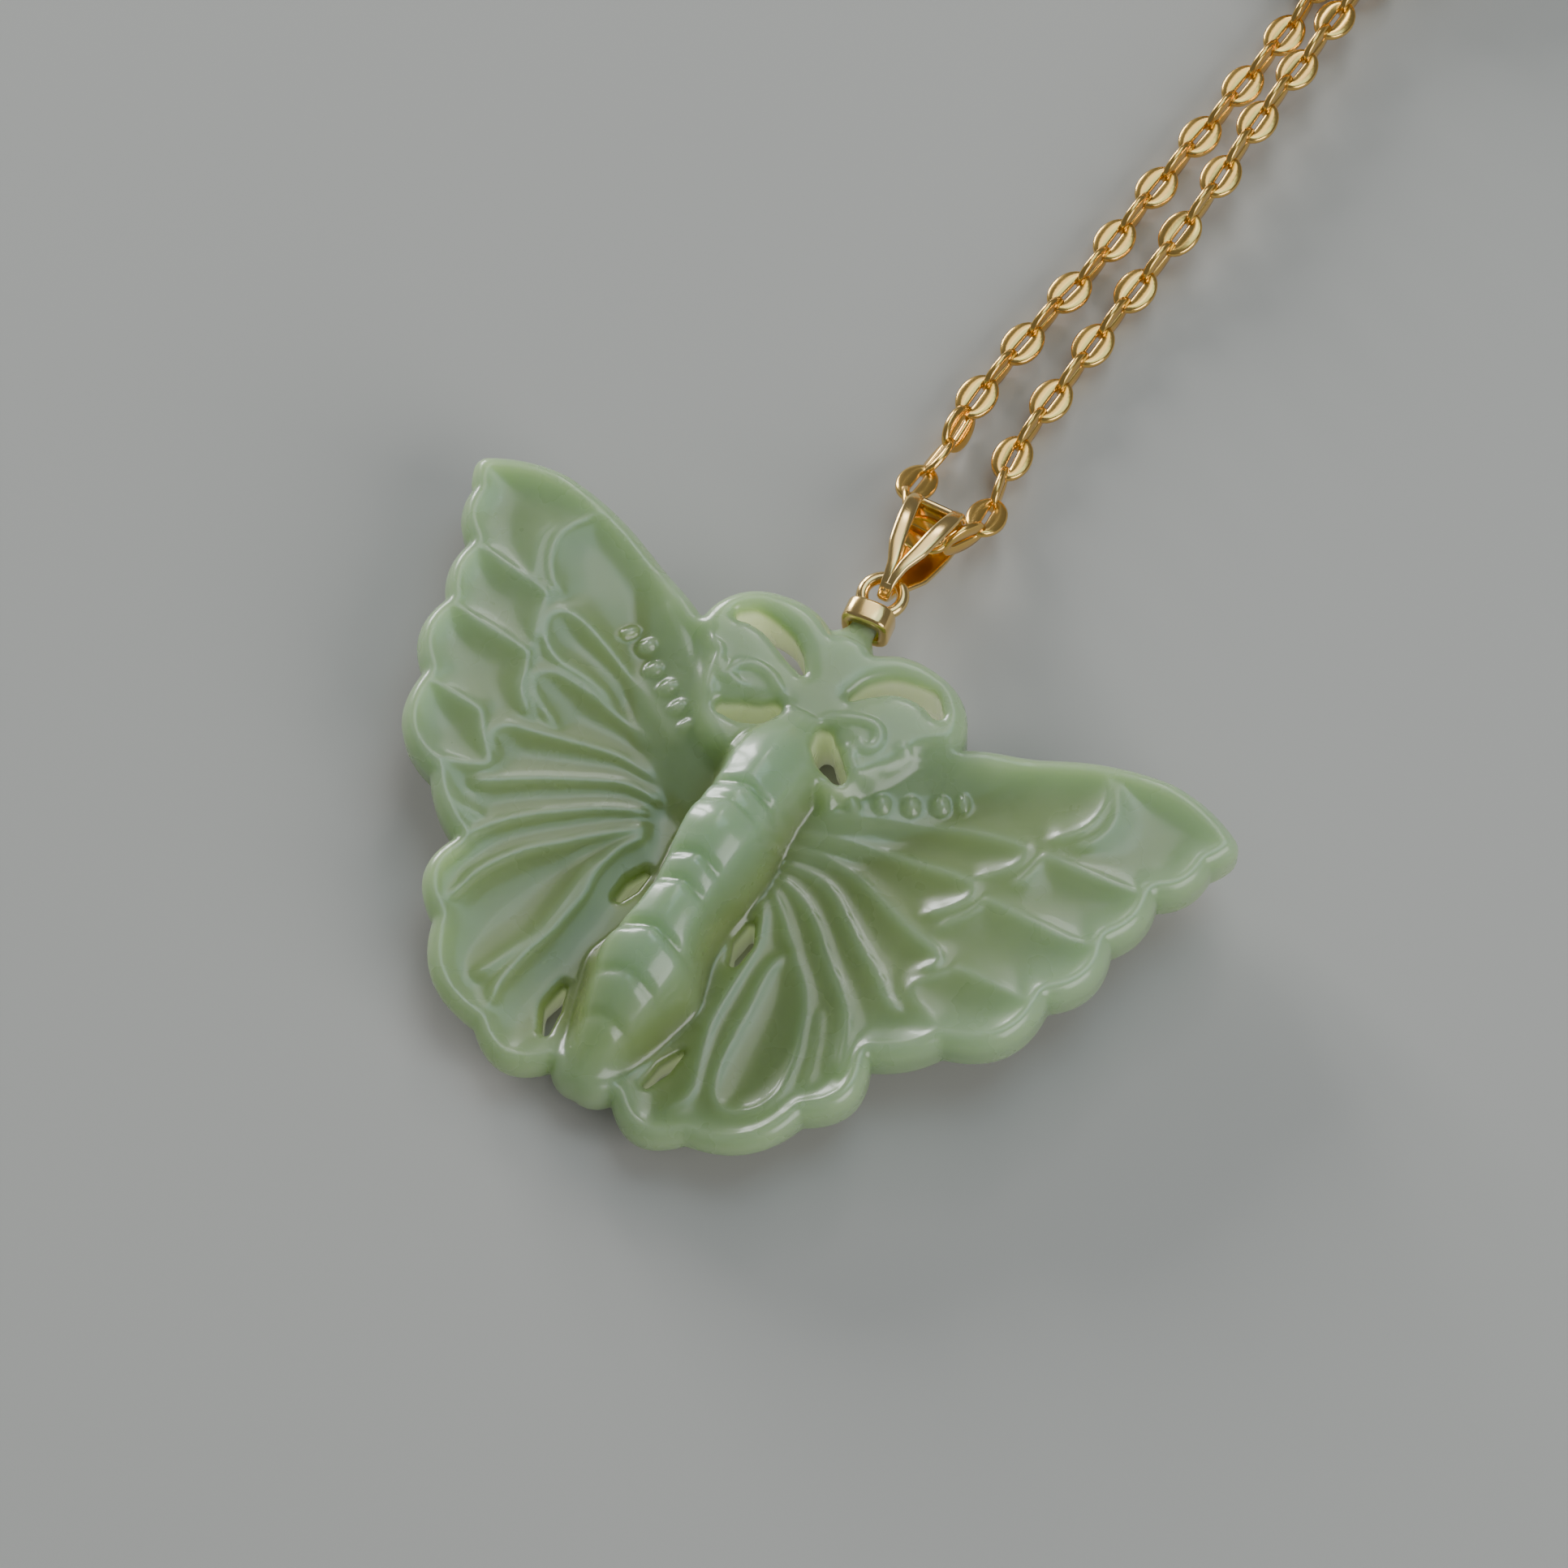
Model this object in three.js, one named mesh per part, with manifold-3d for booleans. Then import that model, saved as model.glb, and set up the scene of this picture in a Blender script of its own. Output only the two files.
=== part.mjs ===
// A carved jade butterfly pendant on its gold-plated cap, bail and fine flat cable chain.
// It lies face up: X runs to the butterfly's right wing tip, Y to its head, Z up, in millimetres.
// The origin is on the table, at the middle of the flat belly that the pendant rests on.

import * as THREE from 'three';
import { mergeVertices } from 'three/addons/utils/BufferGeometryUtils.js';
import Module from 'manifold-3d';

// Driving dimensions of the jade
const WING_ROOT_TOP = 2.2;
const WING_RIM_TOP = 3.75;
const WING_EDGE_THICKNESS = 1.9;
const DISH_START = 1.5;
const DISH_END = 12.5;
const BELLY_HALF_WIDTH = 1.7;
const SCROLL_TOP = 3.9;
const SCROLL_BOTTOM = 1.5;
const TAIL_BOTTOM = 0.9;
const BORDER_WIDTH = 1.0;
const BORDER_HEIGHT = 0.32;
const RIB_WIDTH = 0.48;
const RIB_HEIGHT = 0.32;
const LEFT_WING_SHIFT = 0.68;
const GRID_STEP = 0.485;
const UNDERSIDE_STEP = 1.8;
const EDGE_STEP = 0.62;

// Driving dimensions of the metal
const CAP_SIZE = { width: 1.8, length: 0.85, depth: 1.9 };
const CAP_CENTRE = [-0.2, 10.52, 2.8];
const CAP_TURN = 0.12;
const PEG_SIZE = { width: 1.0, length: 0.5, depth: 0.85 };
const FIT_GAP = 0.1;
const EYE_RADIUS = 0.72;
const EYE_WIRE = 0.24;
const EYE_CENTRE = [-0.28, 11.65];
const BAIL_HINGE = [-0.25, 12.2];
const BAIL_TURN = 0.045;
const BAIL_THICKNESS = 0.3;
const LINK = { length: 1.98, width: 1.5, thickness: 0.32, slot: 1.36, slotWidth: 0.4 };
const LINK_PITCH = 1.405;
const COIL = { inner: 2.0, outer: 9.7, height: 4.1, x: -4.6, y: 53.6 };

// The outline of the right half, clockwise from the stem: corner, then how far the arc to the next
// corner swells outwards.
const HALF_OUTLINE = [
  [0.8, 9.3, 0.22],
  [3.0, 9.75, 0.55],
  [5.25, 7.65, 0.08],
  [9.0, 9.35, 0.1],
  [12.2, 10.0, 0.2],
  [15.1, 9.2, 0.14],
  [15.3, 8.5, 0.04],
  [14.9, 7.8, 0.32],
  [13.85, 5.85, 0.3],
  [13.35, 3.6, 0.55],
  [12.5, 0.75, 0.85],
  [10.2, -2.4, 0.2],
  [8.3, -3.9, 0.7],
  [7.35, -6.8, 0.75],
  [4.2, -9.3, 0.75],
  [1.2, -9.2, 0.2],
];
const TAIL_TIP = [0, -9.65];

// Ribs of the right wing as arcs: start, end, and the swell to the left of the way from start to end.
const RIBS = [
  [9.74, 9.34, 9.59, 6.01, 0.98],
  [10.57, 8.95, 10.52, 6.15, 0.63],
  [2.2, 3.0, 8.9, 5.35, 0.42],
  [8.9, 5.35, 8.0, 3.6, 0.42],
  [9.7, 5.3, 13.3, 5.65, 0.03],
  [9.7, 5.3, 9.3, 3.8, 0.1],
  [8.75, 3.0, 13.1, 3.35, -0.2],
  [8.75, 3.0, 7.9, 1.3, 0.15],
  [9.08, 0.25, 12.2, 0.4, 0.02],
  [9.08, 0.25, 8.15, -0.9, -0.05],
  [8.15, -0.9, 10.05, -2.1, -0.1],
  [1.8, 2.2, 7.9, 3.4, 0.3],
  [7.9, 3.4, 7.2, 1.7, 0.5],
  [1.7, 1.6, 8.4, 0.5, 0.72],
  [1.8, 1.05, 8.2, -2.0, 0.8],
  [1.8, 0.6, 7.6, -4.9, 0.87],
  [1.9, 0.25, 6.2, -6.3, 0.95],
  [6.2, -6.3, 4.0, -7.0, 1.0],
  [4.0, -7.0, 3.5, -2.2, 0.08],
  [1.9, -0.3, 2.7, -3.2, 0.25],
  [2.7, -3.2, 3.45, -8.1, -0.22],
];

// The row of grains along the leading edge of each forewing, from the body outwards: place and radius.
const GRAINS = [
  [2.3, 3.55, 0.3],
  [3.05, 3.95, 0.34],
  [3.85, 4.6, 0.38],
  [4.8, 5.0, 0.4],
  [5.7, 5.5, 0.42],
];
const GRAIN_HEIGHT = 0.22;

// The body from head to tail: place along Y, half width, height of the back.
const BODY = [
  [5.9, 0.6, 3.9],
  [5.3, 0.75, 4.4],
  [4.7, 1.2, 4.9],
  [4.0, 1.7, 5.25],
  [3.2, 1.85, 5.4],
  [2.5, 1.75, 5.4],
  [2.05, 1.5, 5.15],
  [1.6, 1.65, 5.5],
  [1.2, 1.6, 5.5],
  [0.6, 1.85, 5.95],
  [-0.2, 1.9, 6.05],
  [-0.95, 1.6, 5.6],
  [-1.5, 1.65, 5.6],
  [-2.05, 1.5, 5.3],
  [-2.8, 1.7, 5.5],
  [-3.65, 1.6, 5.05],
  [-4.6, 2.05, 5.2],
  [-5.8, 1.8, 4.8],
  [-6.8, 1.5, 4.2],
  [-7.8, 1.15, 3.6],
  [-8.9, 0.9, 2.85],
  [-9.9, 0.8, 2.1],
];

// The openwork of the right half: the middle line of each opening and half its width along that line
const CURL_SLOT = [[1.0, 7.2], [1.55, 7.85], [2.2, 8.3], [2.95, 8.5], [3.75, 8.3], [4.0, 8.1]];
const CURL_SLOT_HALF_WIDTHS = [0.16, 0.4, 0.46, 0.46, 0.42, 0.3];
const HEAD_OPENING = [[1.15, 5.85], [1.2, 5.25], [1.65, 4.72], [2.15, 4.4], [2.7, 4.15]];
const HEAD_OPENING_HALF_WIDTHS = [0.34, 0.5, 0.5, 0.5, 0.36];
const WAIST_OPENING = [[2.0, -1.35], [2.12, -2.0], [2.28, -2.65]];
const WAIST_OPENING_HALF_WIDTHS = [0.12, 0.32, 0.16];
const TAIL_OPENING = [[2.38, -6.45], [2.25, -7.3], [1.95, -8.15]];
const TAIL_OPENING_HALF_WIDTHS = [0.1, 0.28, 0.16];

// Where the raised scrollwork plate beside the head meets the wing
const SCROLL_FOOT = [[1.3, 3.4], [2.4, 3.9], [2.9, 4.7], [3.6, 5.4], [4.0, 6.4], [4.7, 7.1], [5.4, 7.9]];

// Small coils of the antennae on the scrollwork: centre, radius of the raised line, start angle, end angle
const ANTENNA_COILS = [
  [2.35, 6.35, 0.5, -0.6, 3.6],
  [3.4, 6.2, 0.35, -0.5, 2.8],
];

// The bail from the side, along Y and Z: the centre line of its bent strip, anticlockwise
const BAIL_SIDE = [
  [11.6, 2.85],
  [12.1, 2.3],
  [13.3, 1.5],
  [14.6, 1.0],
  [15.5, 1.05],
  [16.0, 1.8],
  [15.8, 2.75],
  [14.7, 3.3],
  [13.3, 3.45],
  [12.1, 3.35],
];
// The bail from above: half its width at places along Y, and the open V of its front
const BAIL_HALF_WIDTHS = [[11.2, 0.28], [12.2, 0.26], [13.5, 0.78], [15.3, 1.04], [16.4, 0.9]];
const BAIL_OPENING = [[0, 12.75], [0.58, 15.45], [-0.58, 15.45]];

// The way of the chain: down the left run, through the bail, up the right run
const LEFT_RUN = [
  [0.3, 43.9, 0.75],
  [0.3, 41.4, 0.75],
  [0.1, 39.3, 0.75],
  [-0.17, 36.6, 0.75],
  [-0.5, 33.9, 0.75],
  [-0.78, 31.2, 0.75],
  [-1.0, 28.4, 0.75],
  [-1.4, 26.0, 0.75],
  [-1.8, 23.0, 0.75],
  [-1.98, 21.3, 0.75],
  [-1.9, 19.9, 0.75],
  [-1.93, 18.6, 0.85],
  [-1.96, 17.3, 1.1],
  [-1.82, 16.05, 1.55],
];
const BAIL_CROSSING = [[-1.15, 15.1, 1.9], [-0.25, 14.88, 2.05]];
const RIGHT_RUN = [
  [0.58, 15.25, 1.92],
  [0.94, 16.15, 1.6],
  [0.92, 17.2, 1.25],
  [0.62, 18.6, 0.9],
  [0.38, 20.0, 0.75],
  [0.4, 21.9, 0.75],
  [0.55, 24.2, 0.75],
  [0.68, 26.3, 0.75],
  [0.87, 28.4, 0.8],
  [1.12, 30.4, 1.1],
  [1.36, 32.6, 1.45],
  [1.38, 35.0, 1.45],
  [1.46, 37.6, 1.45],
  [1.65, 40.2, 1.4],
  [1.75, 42.9, 1.2],
  [1.85, 44.8, 1.0],
];
// The first link lies this far along the way. From the twist link on the chain turns by a quarter
// over three links, and up to the taut link it is drawn a little longer by its own weight.
const FIRST_LINK = 0.15;
const TWIST_LINK = 16;
const TAUT_LINK = 25;
const TAUT_GAIN = 0.09;

const GOLD = 0xd9a648;
const JADE = 0x8d9f7c;

const clamp = THREE.MathUtils.clamp;
const smooth = THREE.MathUtils.smoothstep;

// Points of the arc from a to b that swells to the left by sagitta
function arc(a, b, sagitta, steps) {
  const chord = Math.hypot(b[0] - a[0], b[1] - a[1]);
  const along = [(b[0] - a[0]) / chord, (b[1] - a[1]) / chord];
  const left = [-along[1], along[0]];
  const points = [];
  for (let i = 0; i <= steps; i++) {
    const t = i / steps;
    const swell = 4 * sagitta * t * (1 - t);
    points.push([
      a[0] + (b[0] - a[0]) * t + left[0] * swell,
      a[1] + (b[1] - a[1]) * t + left[1] * swell,
    ]);
  }
  return points;
}

function nearestOn(line, x, y) {
  let best = { distance: Infinity, x: 0, y: 0 };
  for (let i = 0; i + 1 < line.length; i++) {
    const [ax, ay] = line[i];
    const dx = line[i + 1][0] - ax;
    const dy = line[i + 1][1] - ay;
    const t = clamp(((x - ax) * dx + (y - ay) * dy) / (dx * dx + dy * dy), 0, 1);
    const px = ax + dx * t;
    const py = ay + dy * t;
    const distance = Math.hypot(x - px, y - py);
    if (distance < best.distance) best = { distance, x: px, y: py };
  }
  return best;
}

function halfOutline() {
  const corners = [...HALF_OUTLINE, [...TAIL_TIP, 0]];
  const points = [];
  for (let i = 0; i + 1 < corners.length; i++) {
    const steps = Math.max(2, Math.round(Math.hypot(
      corners[i + 1][0] - corners[i][0], corners[i + 1][1] - corners[i][1]) / EDGE_STEP));
    const piece = arc(corners[i], corners[i + 1], corners[i][2], steps);
    points.push(...piece.slice(0, -1));
  }
  points.push(TAIL_TIP);
  return points;
}

const EDGE = halfOutline();
const RIB_LINES = RIBS.map(([ax, ay, bx, by, swell]) => arc([ax, ay], [bx, by], swell, 10));
const COIL_LINES = ANTENNA_COILS.map(([cx, cy, radius, start, end]) => {
  const points = [];
  for (let i = 0; i <= 8; i++) {
    const angle = start + (end - start) * i / 8;
    points.push([cx + radius * Math.cos(angle), cy + radius * Math.sin(angle)]);
  }
  return points;
});

// A rounded bump of half width w, 1 at distance 0
function bump(distance, w) {
  const t = clamp(distance / w, 0, 1);
  return (1 - t * t) ** 2;
}

function bodyAt(y) {
  for (let i = 0; i + 1 < BODY.length; i++) {
    if (y <= BODY[i][0] && y >= BODY[i + 1][0]) {
      const t = smooth((BODY[i][0] - y) / (BODY[i][0] - BODY[i + 1][0]), 0, 1);
      return {
        width: THREE.MathUtils.lerp(BODY[i][1], BODY[i + 1][1], t),
        height: THREE.MathUtils.lerp(BODY[i][2], BODY[i + 1][2], t),
      };
    }
  }
  return null;
}

// The carver's two wings differ a little: the left one has its inner ribs further out.
function templateX(x) {
  const far = Math.abs(x);
  if (x >= 0) return far;
  return far - LEFT_WING_SHIFT * smooth(far, 4, 9.5) * (1 - smooth(far, 10.5, 13.5));
}

// How far a plan point lies on the scroll side of the line where the scrollwork meets the wing
function scrollSide(x, y) {
  const foot = nearestOn(SCROLL_FOOT, x, y);
  const i = SCROLL_FOOT.findIndex((p, k) => k > 0 && foot.x <= p[0] + 1e-9);
  const a = SCROLL_FOOT[Math.max(0, i - 1)];
  const b = SCROLL_FOOT[Math.max(1, i)];
  const side = (b[0] - a[0]) * (y - a[1]) - (b[1] - a[1]) * (x - a[0]);
  return Math.sign(side) * foot.distance;
}

function wingBase(far) {
  return THREE.MathUtils.lerp(WING_ROOT_TOP, WING_RIM_TOP, smooth(far, DISH_START, DISH_END));
}

// Height of the carved face over the plan
function faceHeight(x, y) {
  const far = Math.abs(x);
  const tx = templateX(x);
  const edge = nearestOn(EDGE, far, y).distance;
  let relief = BORDER_HEIGHT * (1 - smooth(edge, 0.3, BORDER_WIDTH));
  for (const line of RIB_LINES) {
    relief = Math.max(relief, RIB_HEIGHT * bump(nearestOn(line, tx, y).distance, RIB_WIDTH));
  }
  for (const [gx, gy, radius] of GRAINS) {
    relief = Math.max(relief, GRAIN_HEIGHT * bump(Math.hypot(tx - gx, y - gy), radius));
  }
  let z = wingBase(far) + relief;
  const onScroll = smooth(scrollSide(far, y), -0.25, 0.25);
  let plate = SCROLL_TOP;
  for (const line of COIL_LINES) {
    plate += 0.15 * bump(nearestOn(line, far, y).distance, 0.3);
  }
  z = THREE.MathUtils.lerp(z, plate, onScroll);
  const body = bodyAt(y);
  if (body && far < body.width) {
    const round = Math.sqrt(1 - (far / body.width) ** 2.2);
    z = Math.max(z, z + (body.height - z) * round);
  }
  return z;
}

// Height of the plain back: flat under the body, rising to the wings, the scrollwork and the tail
function undersideHeight(x, y) {
  const far = Math.abs(x);
  const wing = wingBase(far) - WING_EDGE_THICKNESS;
  const rise = smooth(far, BELLY_HALF_WIDTH, BELLY_HALF_WIDTH + 3.5);
  const scroll = smooth(y, 4.5, 8.0) * SCROLL_BOTTOM;
  const tail = smooth(-y, 5.0, 9.5) * TAIL_BOTTOM;
  return Math.max(0, wing * rise, scroll * (1 - rise)) + tail;
}

// A closed solid between a height field and a level plane. slide moves a grid vertex in plan.
function heightSolid(xs, ys, heightAt, level, slide) {
  const columns = xs.length;
  const count = columns * ys.length;
  const positions = [];
  for (const [i, y] of ys.entries()) {
    for (const [j, x] of xs.entries()) {
      const rim = i === 0 || j === 0 || i === ys.length - 1 || j === columns - 1;
      const [px, py] = rim ? [x, y] : slide(x, y);
      positions.push(px, py, heightAt(px, py));
    }
  }
  for (const y of ys) {
    for (const x of xs) positions.push(x, y, level);
  }
  const faces = [];
  const at = (i, j) => i * columns + j;
  const flip = level > positions[2];
  const add = (a, b, c) => (flip ? faces.push(a, c, b) : faces.push(a, b, c));
  for (let i = 0; i + 1 < ys.length; i++) {
    for (let j = 0; j + 1 < columns; j++) {
      const [a, b, c, d] = [at(i, j), at(i, j + 1), at(i + 1, j + 1), at(i + 1, j)];
      const rising = Math.abs(positions[3 * a + 2] - positions[3 * c + 2])
        < Math.abs(positions[3 * b + 2] - positions[3 * d + 2]);
      if (rising) {
        add(a, b, c);
        add(a, c, d);
      } else {
        add(a, b, d);
        add(b, c, d);
      }
      add(a + count, c + count, b + count);
      add(a + count, d + count, c + count);
    }
  }
  const border = [];
  for (let j = 0; j + 1 < columns; j++) border.push(at(0, j));
  for (let i = 0; i + 1 < ys.length; i++) border.push(at(i, columns - 1));
  for (let j = columns - 1; j > 0; j--) border.push(at(ys.length - 1, j));
  for (let i = ys.length - 1; i > 0; i--) border.push(at(i, 0));
  for (const [k, a] of border.entries()) {
    const b = border[(k + 1) % border.length];
    add(a, b + count, b);
    add(a, a + count, b + count);
  }
  const geometry = new THREE.BufferGeometry();
  geometry.setAttribute('position', new THREE.Float32BufferAttribute(positions, 3));
  geometry.setIndex(faces);
  return geometry;
}

const wasm = await Module();
wasm.setup();

function solid(geometry) {
  const plain = geometry.index ? geometry.clone() : geometry;
  plain.deleteAttribute('normal');
  plain.deleteAttribute('uv');
  const merged = mergeVertices(plain, 1e-5);
  return new wasm.Manifold(new wasm.Mesh({
    numProp: 3,
    vertProperties: new Float32Array(merged.attributes.position.array),
    triVerts: new Uint32Array(merged.index.array),
  }));
}

function geometryOf(manifold) {
  const mesh = manifold.getMesh();
  const geometry = new THREE.BufferGeometry();
  geometry.setAttribute('position', new THREE.BufferAttribute(new Float32Array(mesh.vertProperties), 3));
  geometry.setIndex(new THREE.BufferAttribute(new Uint32Array(mesh.triVerts), 1));
  geometry.computeVertexNormals();
  return geometry;
}

function prism(points, bottom, top) {
  const shape = new THREE.Shape(points.map(([x, y]) => new THREE.Vector2(x, y)));
  const geometry = new THREE.ExtrudeGeometry(shape, { depth: top - bottom, bevelEnabled: false });
  return geometry.translate(0, 0, bottom);
}

function mirrored(points) {
  return points.map(([x, y]) => [-x, y]).reverse();
}

// A band of changing half width along a smooth curve through points
function stroke(spine, halfWidths, steps) {
  const curve = new THREE.SplineCurve(spine.map(([x, y]) => new THREE.Vector2(x, y)));
  const left = [];
  const right = [];
  for (let i = 0; i <= steps; i++) {
    const t = i / steps;
    const p = curve.getPoint(t);
    const along = curve.getTangent(t);
    const place = t * (halfWidths.length - 1);
    const k = Math.min(Math.floor(place), halfWidths.length - 2);
    const half = THREE.MathUtils.lerp(halfWidths[k], halfWidths[k + 1], place - k);
    left.push([p.x - along.y * half, p.y + along.x * half]);
    right.push([p.x + along.y * half, p.y - along.x * half]);
  }
  return [...right, ...left.reverse()];
}

// The openwork of the right half. The left half has the same openings, mirrored.
function openings() {
  return [
    stroke(CURL_SLOT, CURL_SLOT_HALF_WIDTHS, 8),
    stroke(HEAD_OPENING, HEAD_OPENING_HALF_WIDTHS, 8),
    stroke(WAIST_OPENING, WAIST_OPENING_HALF_WIDTHS, 4),
    stroke(TAIL_OPENING, TAIL_OPENING_HALF_WIDTHS, 4),
  ];
}

function outlineSolid() {
  const left = mirrored(EDGE).slice(1);
  return solid(prism([...left, ...EDGE].reverse(), -1, 9));
}

function gridLine(from, to, step) {
  const count = Math.ceil((to - from) / step);
  return Array.from({ length: count + 1 }, (_, i) => from + (to - from) * i / count);
}

// Grid vertices close to a rib are slid onto its crest, and the next ones onto its foot, so that
// both are clean lines.
function onRib(x, y) {
  const tx = templateX(x);
  let best = { distance: GRID_STEP * 1.4 };
  for (const line of RIB_LINES) {
    const near = nearestOn(line, tx, y);
    if (near.distance < best.distance) best = near;
  }
  if (best.x === undefined) return [x, y];
  const keep = best.distance < GRID_STEP * 0.5 ? 0 : RIB_WIDTH / best.distance;
  const shiftX = (best.x - tx) * (1 - keep);
  const shiftY = (best.y - y) * (1 - keep);
  return [x + Math.sign(x) * shiftX, y + shiftY];
}

function jadeButterfly() {
  const face = solid(heightSolid(
    gridLine(-16, 16, GRID_STEP), gridLine(-10.6, 10.6, GRID_STEP), faceHeight, -1, onRib));
  const back = solid(heightSolid(
    gridLine(-16.2, 16.2, UNDERSIDE_STEP), gridLine(-10.9, 10.9, UNDERSIDE_STEP),
    undersideHeight, 9, (x, y) => [x, y]));
  let jade = face.intersect(back).intersect(outlineSolid());
  for (const opening of openings()) {
    jade = jade.subtract(solid(prism(opening, -1, 9)));
    jade = jade.subtract(solid(prism(mirrored(opening), -1, 9)));
  }
  const peg = inCap(box(
    PEG_SIZE.width, PEG_SIZE.length + 1.2, PEG_SIZE.depth, 0, (PEG_SIZE.length - 1.2 - CAP_SIZE.length) / 2, 0));
  return geometryOf(jade.add(solid(peg)));
}

const pendant = new THREE.Group();

function addPiece(name, geometry, colour, roughness, metalness) {
  const material = new THREE.MeshStandardMaterial({ color: colour, roughness, metalness });
  const mesh = new THREE.Mesh(geometry, material);
  mesh.name = name;
  pendant.add(mesh);
}

function box(width, length, depth, x, y, z) {
  return new THREE.BoxGeometry(width, length, depth).translate(x, y, z);
}

// Moves a shape made around the middle of the cap to where the cap sits
function inCap(geometry) {
  return geometry.rotateZ(CAP_TURN).translate(...CAP_CENTRE);
}

// The cap is a small rounded band with a blind socket for the jade peg and a flat round eye behind it.
function bailCap() {
  const sides = 16;
  const outline = [];
  for (let i = 0; i < sides; i++) {
    const angle = 2 * Math.PI * (i + 0.5) / sides;
    const [c, d] = [Math.cos(angle), Math.sin(angle)];
    outline.push([
      Math.sign(c) * Math.abs(c) ** 0.62 * CAP_SIZE.width / 2,
      Math.sign(d) * Math.abs(d) ** 0.62 * CAP_SIZE.depth / 2,
    ]);
  }
  const band = prism(outline, -CAP_SIZE.length / 2, CAP_SIZE.length / 2).rotateX(Math.PI / 2);
  const socket = box(
    PEG_SIZE.width + 2 * FIT_GAP, 2 * (PEG_SIZE.length + FIT_GAP), PEG_SIZE.depth + 2 * FIT_GAP,
    0, -CAP_SIZE.length / 2, 0);
  const eye = new THREE.TorusGeometry(EYE_RADIUS, EYE_WIRE, 7, 14);
  eye.translate(...EYE_CENTRE, CAP_CENTRE[2]);
  return geometryOf(solid(inCap(band)).subtract(solid(inCap(socket))).add(solid(eye)));
}

// The bail is one strip bent to a loop, wide at the chain and narrow at the eye, its front split to a V.
function bail() {
  const closed = new THREE.CatmullRomCurve3(
    BAIL_SIDE.map(([y, z]) => new THREE.Vector3(y, z, 0)), true);
  const steps = 26;
  const outer = [];
  const inner = [];
  for (let i = 0; i < steps; i++) {
    const p = closed.getPoint(i / steps);
    const along = closed.getTangent(i / steps);
    const half = BAIL_THICKNESS / 2;
    outer.push(new THREE.Vector2(p.x + along.y * half, p.y - along.x * half));
    inner.push(new THREE.Vector2(p.x - along.y * half, p.y + along.x * half));
  }
  const side = new THREE.Shape(outer);
  side.holes.push(new THREE.Path(inner));
  const strip = new THREE.ExtrudeGeometry(side, { depth: 3, bevelEnabled: false });
  strip.translate(0, 0, -1.5);
  strip.applyMatrix4(new THREE.Matrix4().set(0, 0, 1, 0, 1, 0, 0, 0, 0, 1, 0, 0, 0, 0, 0, 1));
  const plan = [
    ...BAIL_HALF_WIDTHS.map(([y, half]) => [half, y]),
    ...BAIL_HALF_WIDTHS.map(([y, half]) => [-half, y]).reverse(),
  ];
  const shape = solid(strip)
    .intersect(solid(prism(plan, 0, 6)))
    .subtract(solid(prism(BAIL_OPENING, 2.6, 6)));
  return geometryOf(shape)
    .translate(0, -BAIL_HINGE[1], 0).rotateZ(BAIL_TURN).translate(...BAIL_HINGE, 0);
}

// One flat link: a long six-sided ring with a narrow slot, its length along X
function linkGeometry() {
  const { length, width, thickness, slot, slotWidth } = LINK;
  const outline = [
    [length / 2, 0], [length / 5, width / 2], [-length / 5, width / 2],
    [-length / 2, 0], [-length / 5, -width / 2], [length / 5, -width / 2],
  ];
  const shape = new THREE.Shape(outline.map(([x, y]) => new THREE.Vector2(x, y)));
  const corners = [
    [-slot / 2, -slotWidth / 2], [slot / 2, -slotWidth / 2], [slot / 2, slotWidth / 2], [-slot / 2, slotWidth / 2],
  ];
  shape.holes.push(new THREE.Path(corners.map(([x, y]) => new THREE.Vector2(x, y))));
  const geometry = new THREE.ExtrudeGeometry(shape, { depth: thickness, bevelEnabled: false });
  return geometry.translate(0, 0, -thickness / 2);
}

// Links along the chain's way, each turned a quarter from the last but where the chain twists, joined
// where they touch
function chain() {
  const way = [...LEFT_RUN, ...BAIL_CROSSING, ...RIGHT_RUN].map((p) => new THREE.Vector3(...p));
  const curve = new THREE.CatmullRomCurve3(way, false, 'centripetal');
  curve.arcLengthDivisions = 2000;
  const length = curve.getLength();
  const placeOf = (i) => FIRST_LINK + i * LINK_PITCH
    + clamp(i - TWIST_LINK, 0, TAUT_LINK - TWIST_LINK) * TAUT_GAIN;
  const link = linkGeometry();
  const up = new THREE.Vector3(0, 0, 1);
  let joined = null;
  for (let i = 0; placeOf(i) <= length; i++) {
    const t = placeOf(i) / length;
    const place = curve.getPointAt(t);
    const along = curve.getTangentAt(t);
    const side = new THREE.Vector3().crossVectors(up, along).normalize();
    const normal = new THREE.Vector3().crossVectors(along, side);
    const frame = new THREE.Matrix4().makeBasis(along, side, normal).setPosition(place);
    const roll = i * Math.PI / 2 + clamp(i - TWIST_LINK, 0, 3) * Math.PI / 6;
    const turn = new THREE.Matrix4().makeRotationX(roll);
    const piece = solid(link.clone().applyMatrix4(frame.multiply(turn)));
    joined = joined ? joined.add(piece) : piece;
  }
  return geometryOf(joined);
}

// The rest of the chain, wound flat in three layers: a low ring with rounded rims
function chainCoil() {
  const { inner, outer, height } = COIL;
  const rim = 0.7;
  const section = [
    [inner, rim], [inner + rim, 0], [outer - rim, 0], [outer, rim],
    [outer, height - rim], [outer - rim, height], [inner + rim, height], [inner, height - rim], [inner, rim],
  ];
  const ring = new THREE.LatheGeometry(section.map(([r, z]) => new THREE.Vector2(r, z)), 22);
  ring.rotateX(Math.PI / 2).translate(COIL.x, COIL.y, 0);
  return geometryOf(solid(ring));
}

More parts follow.
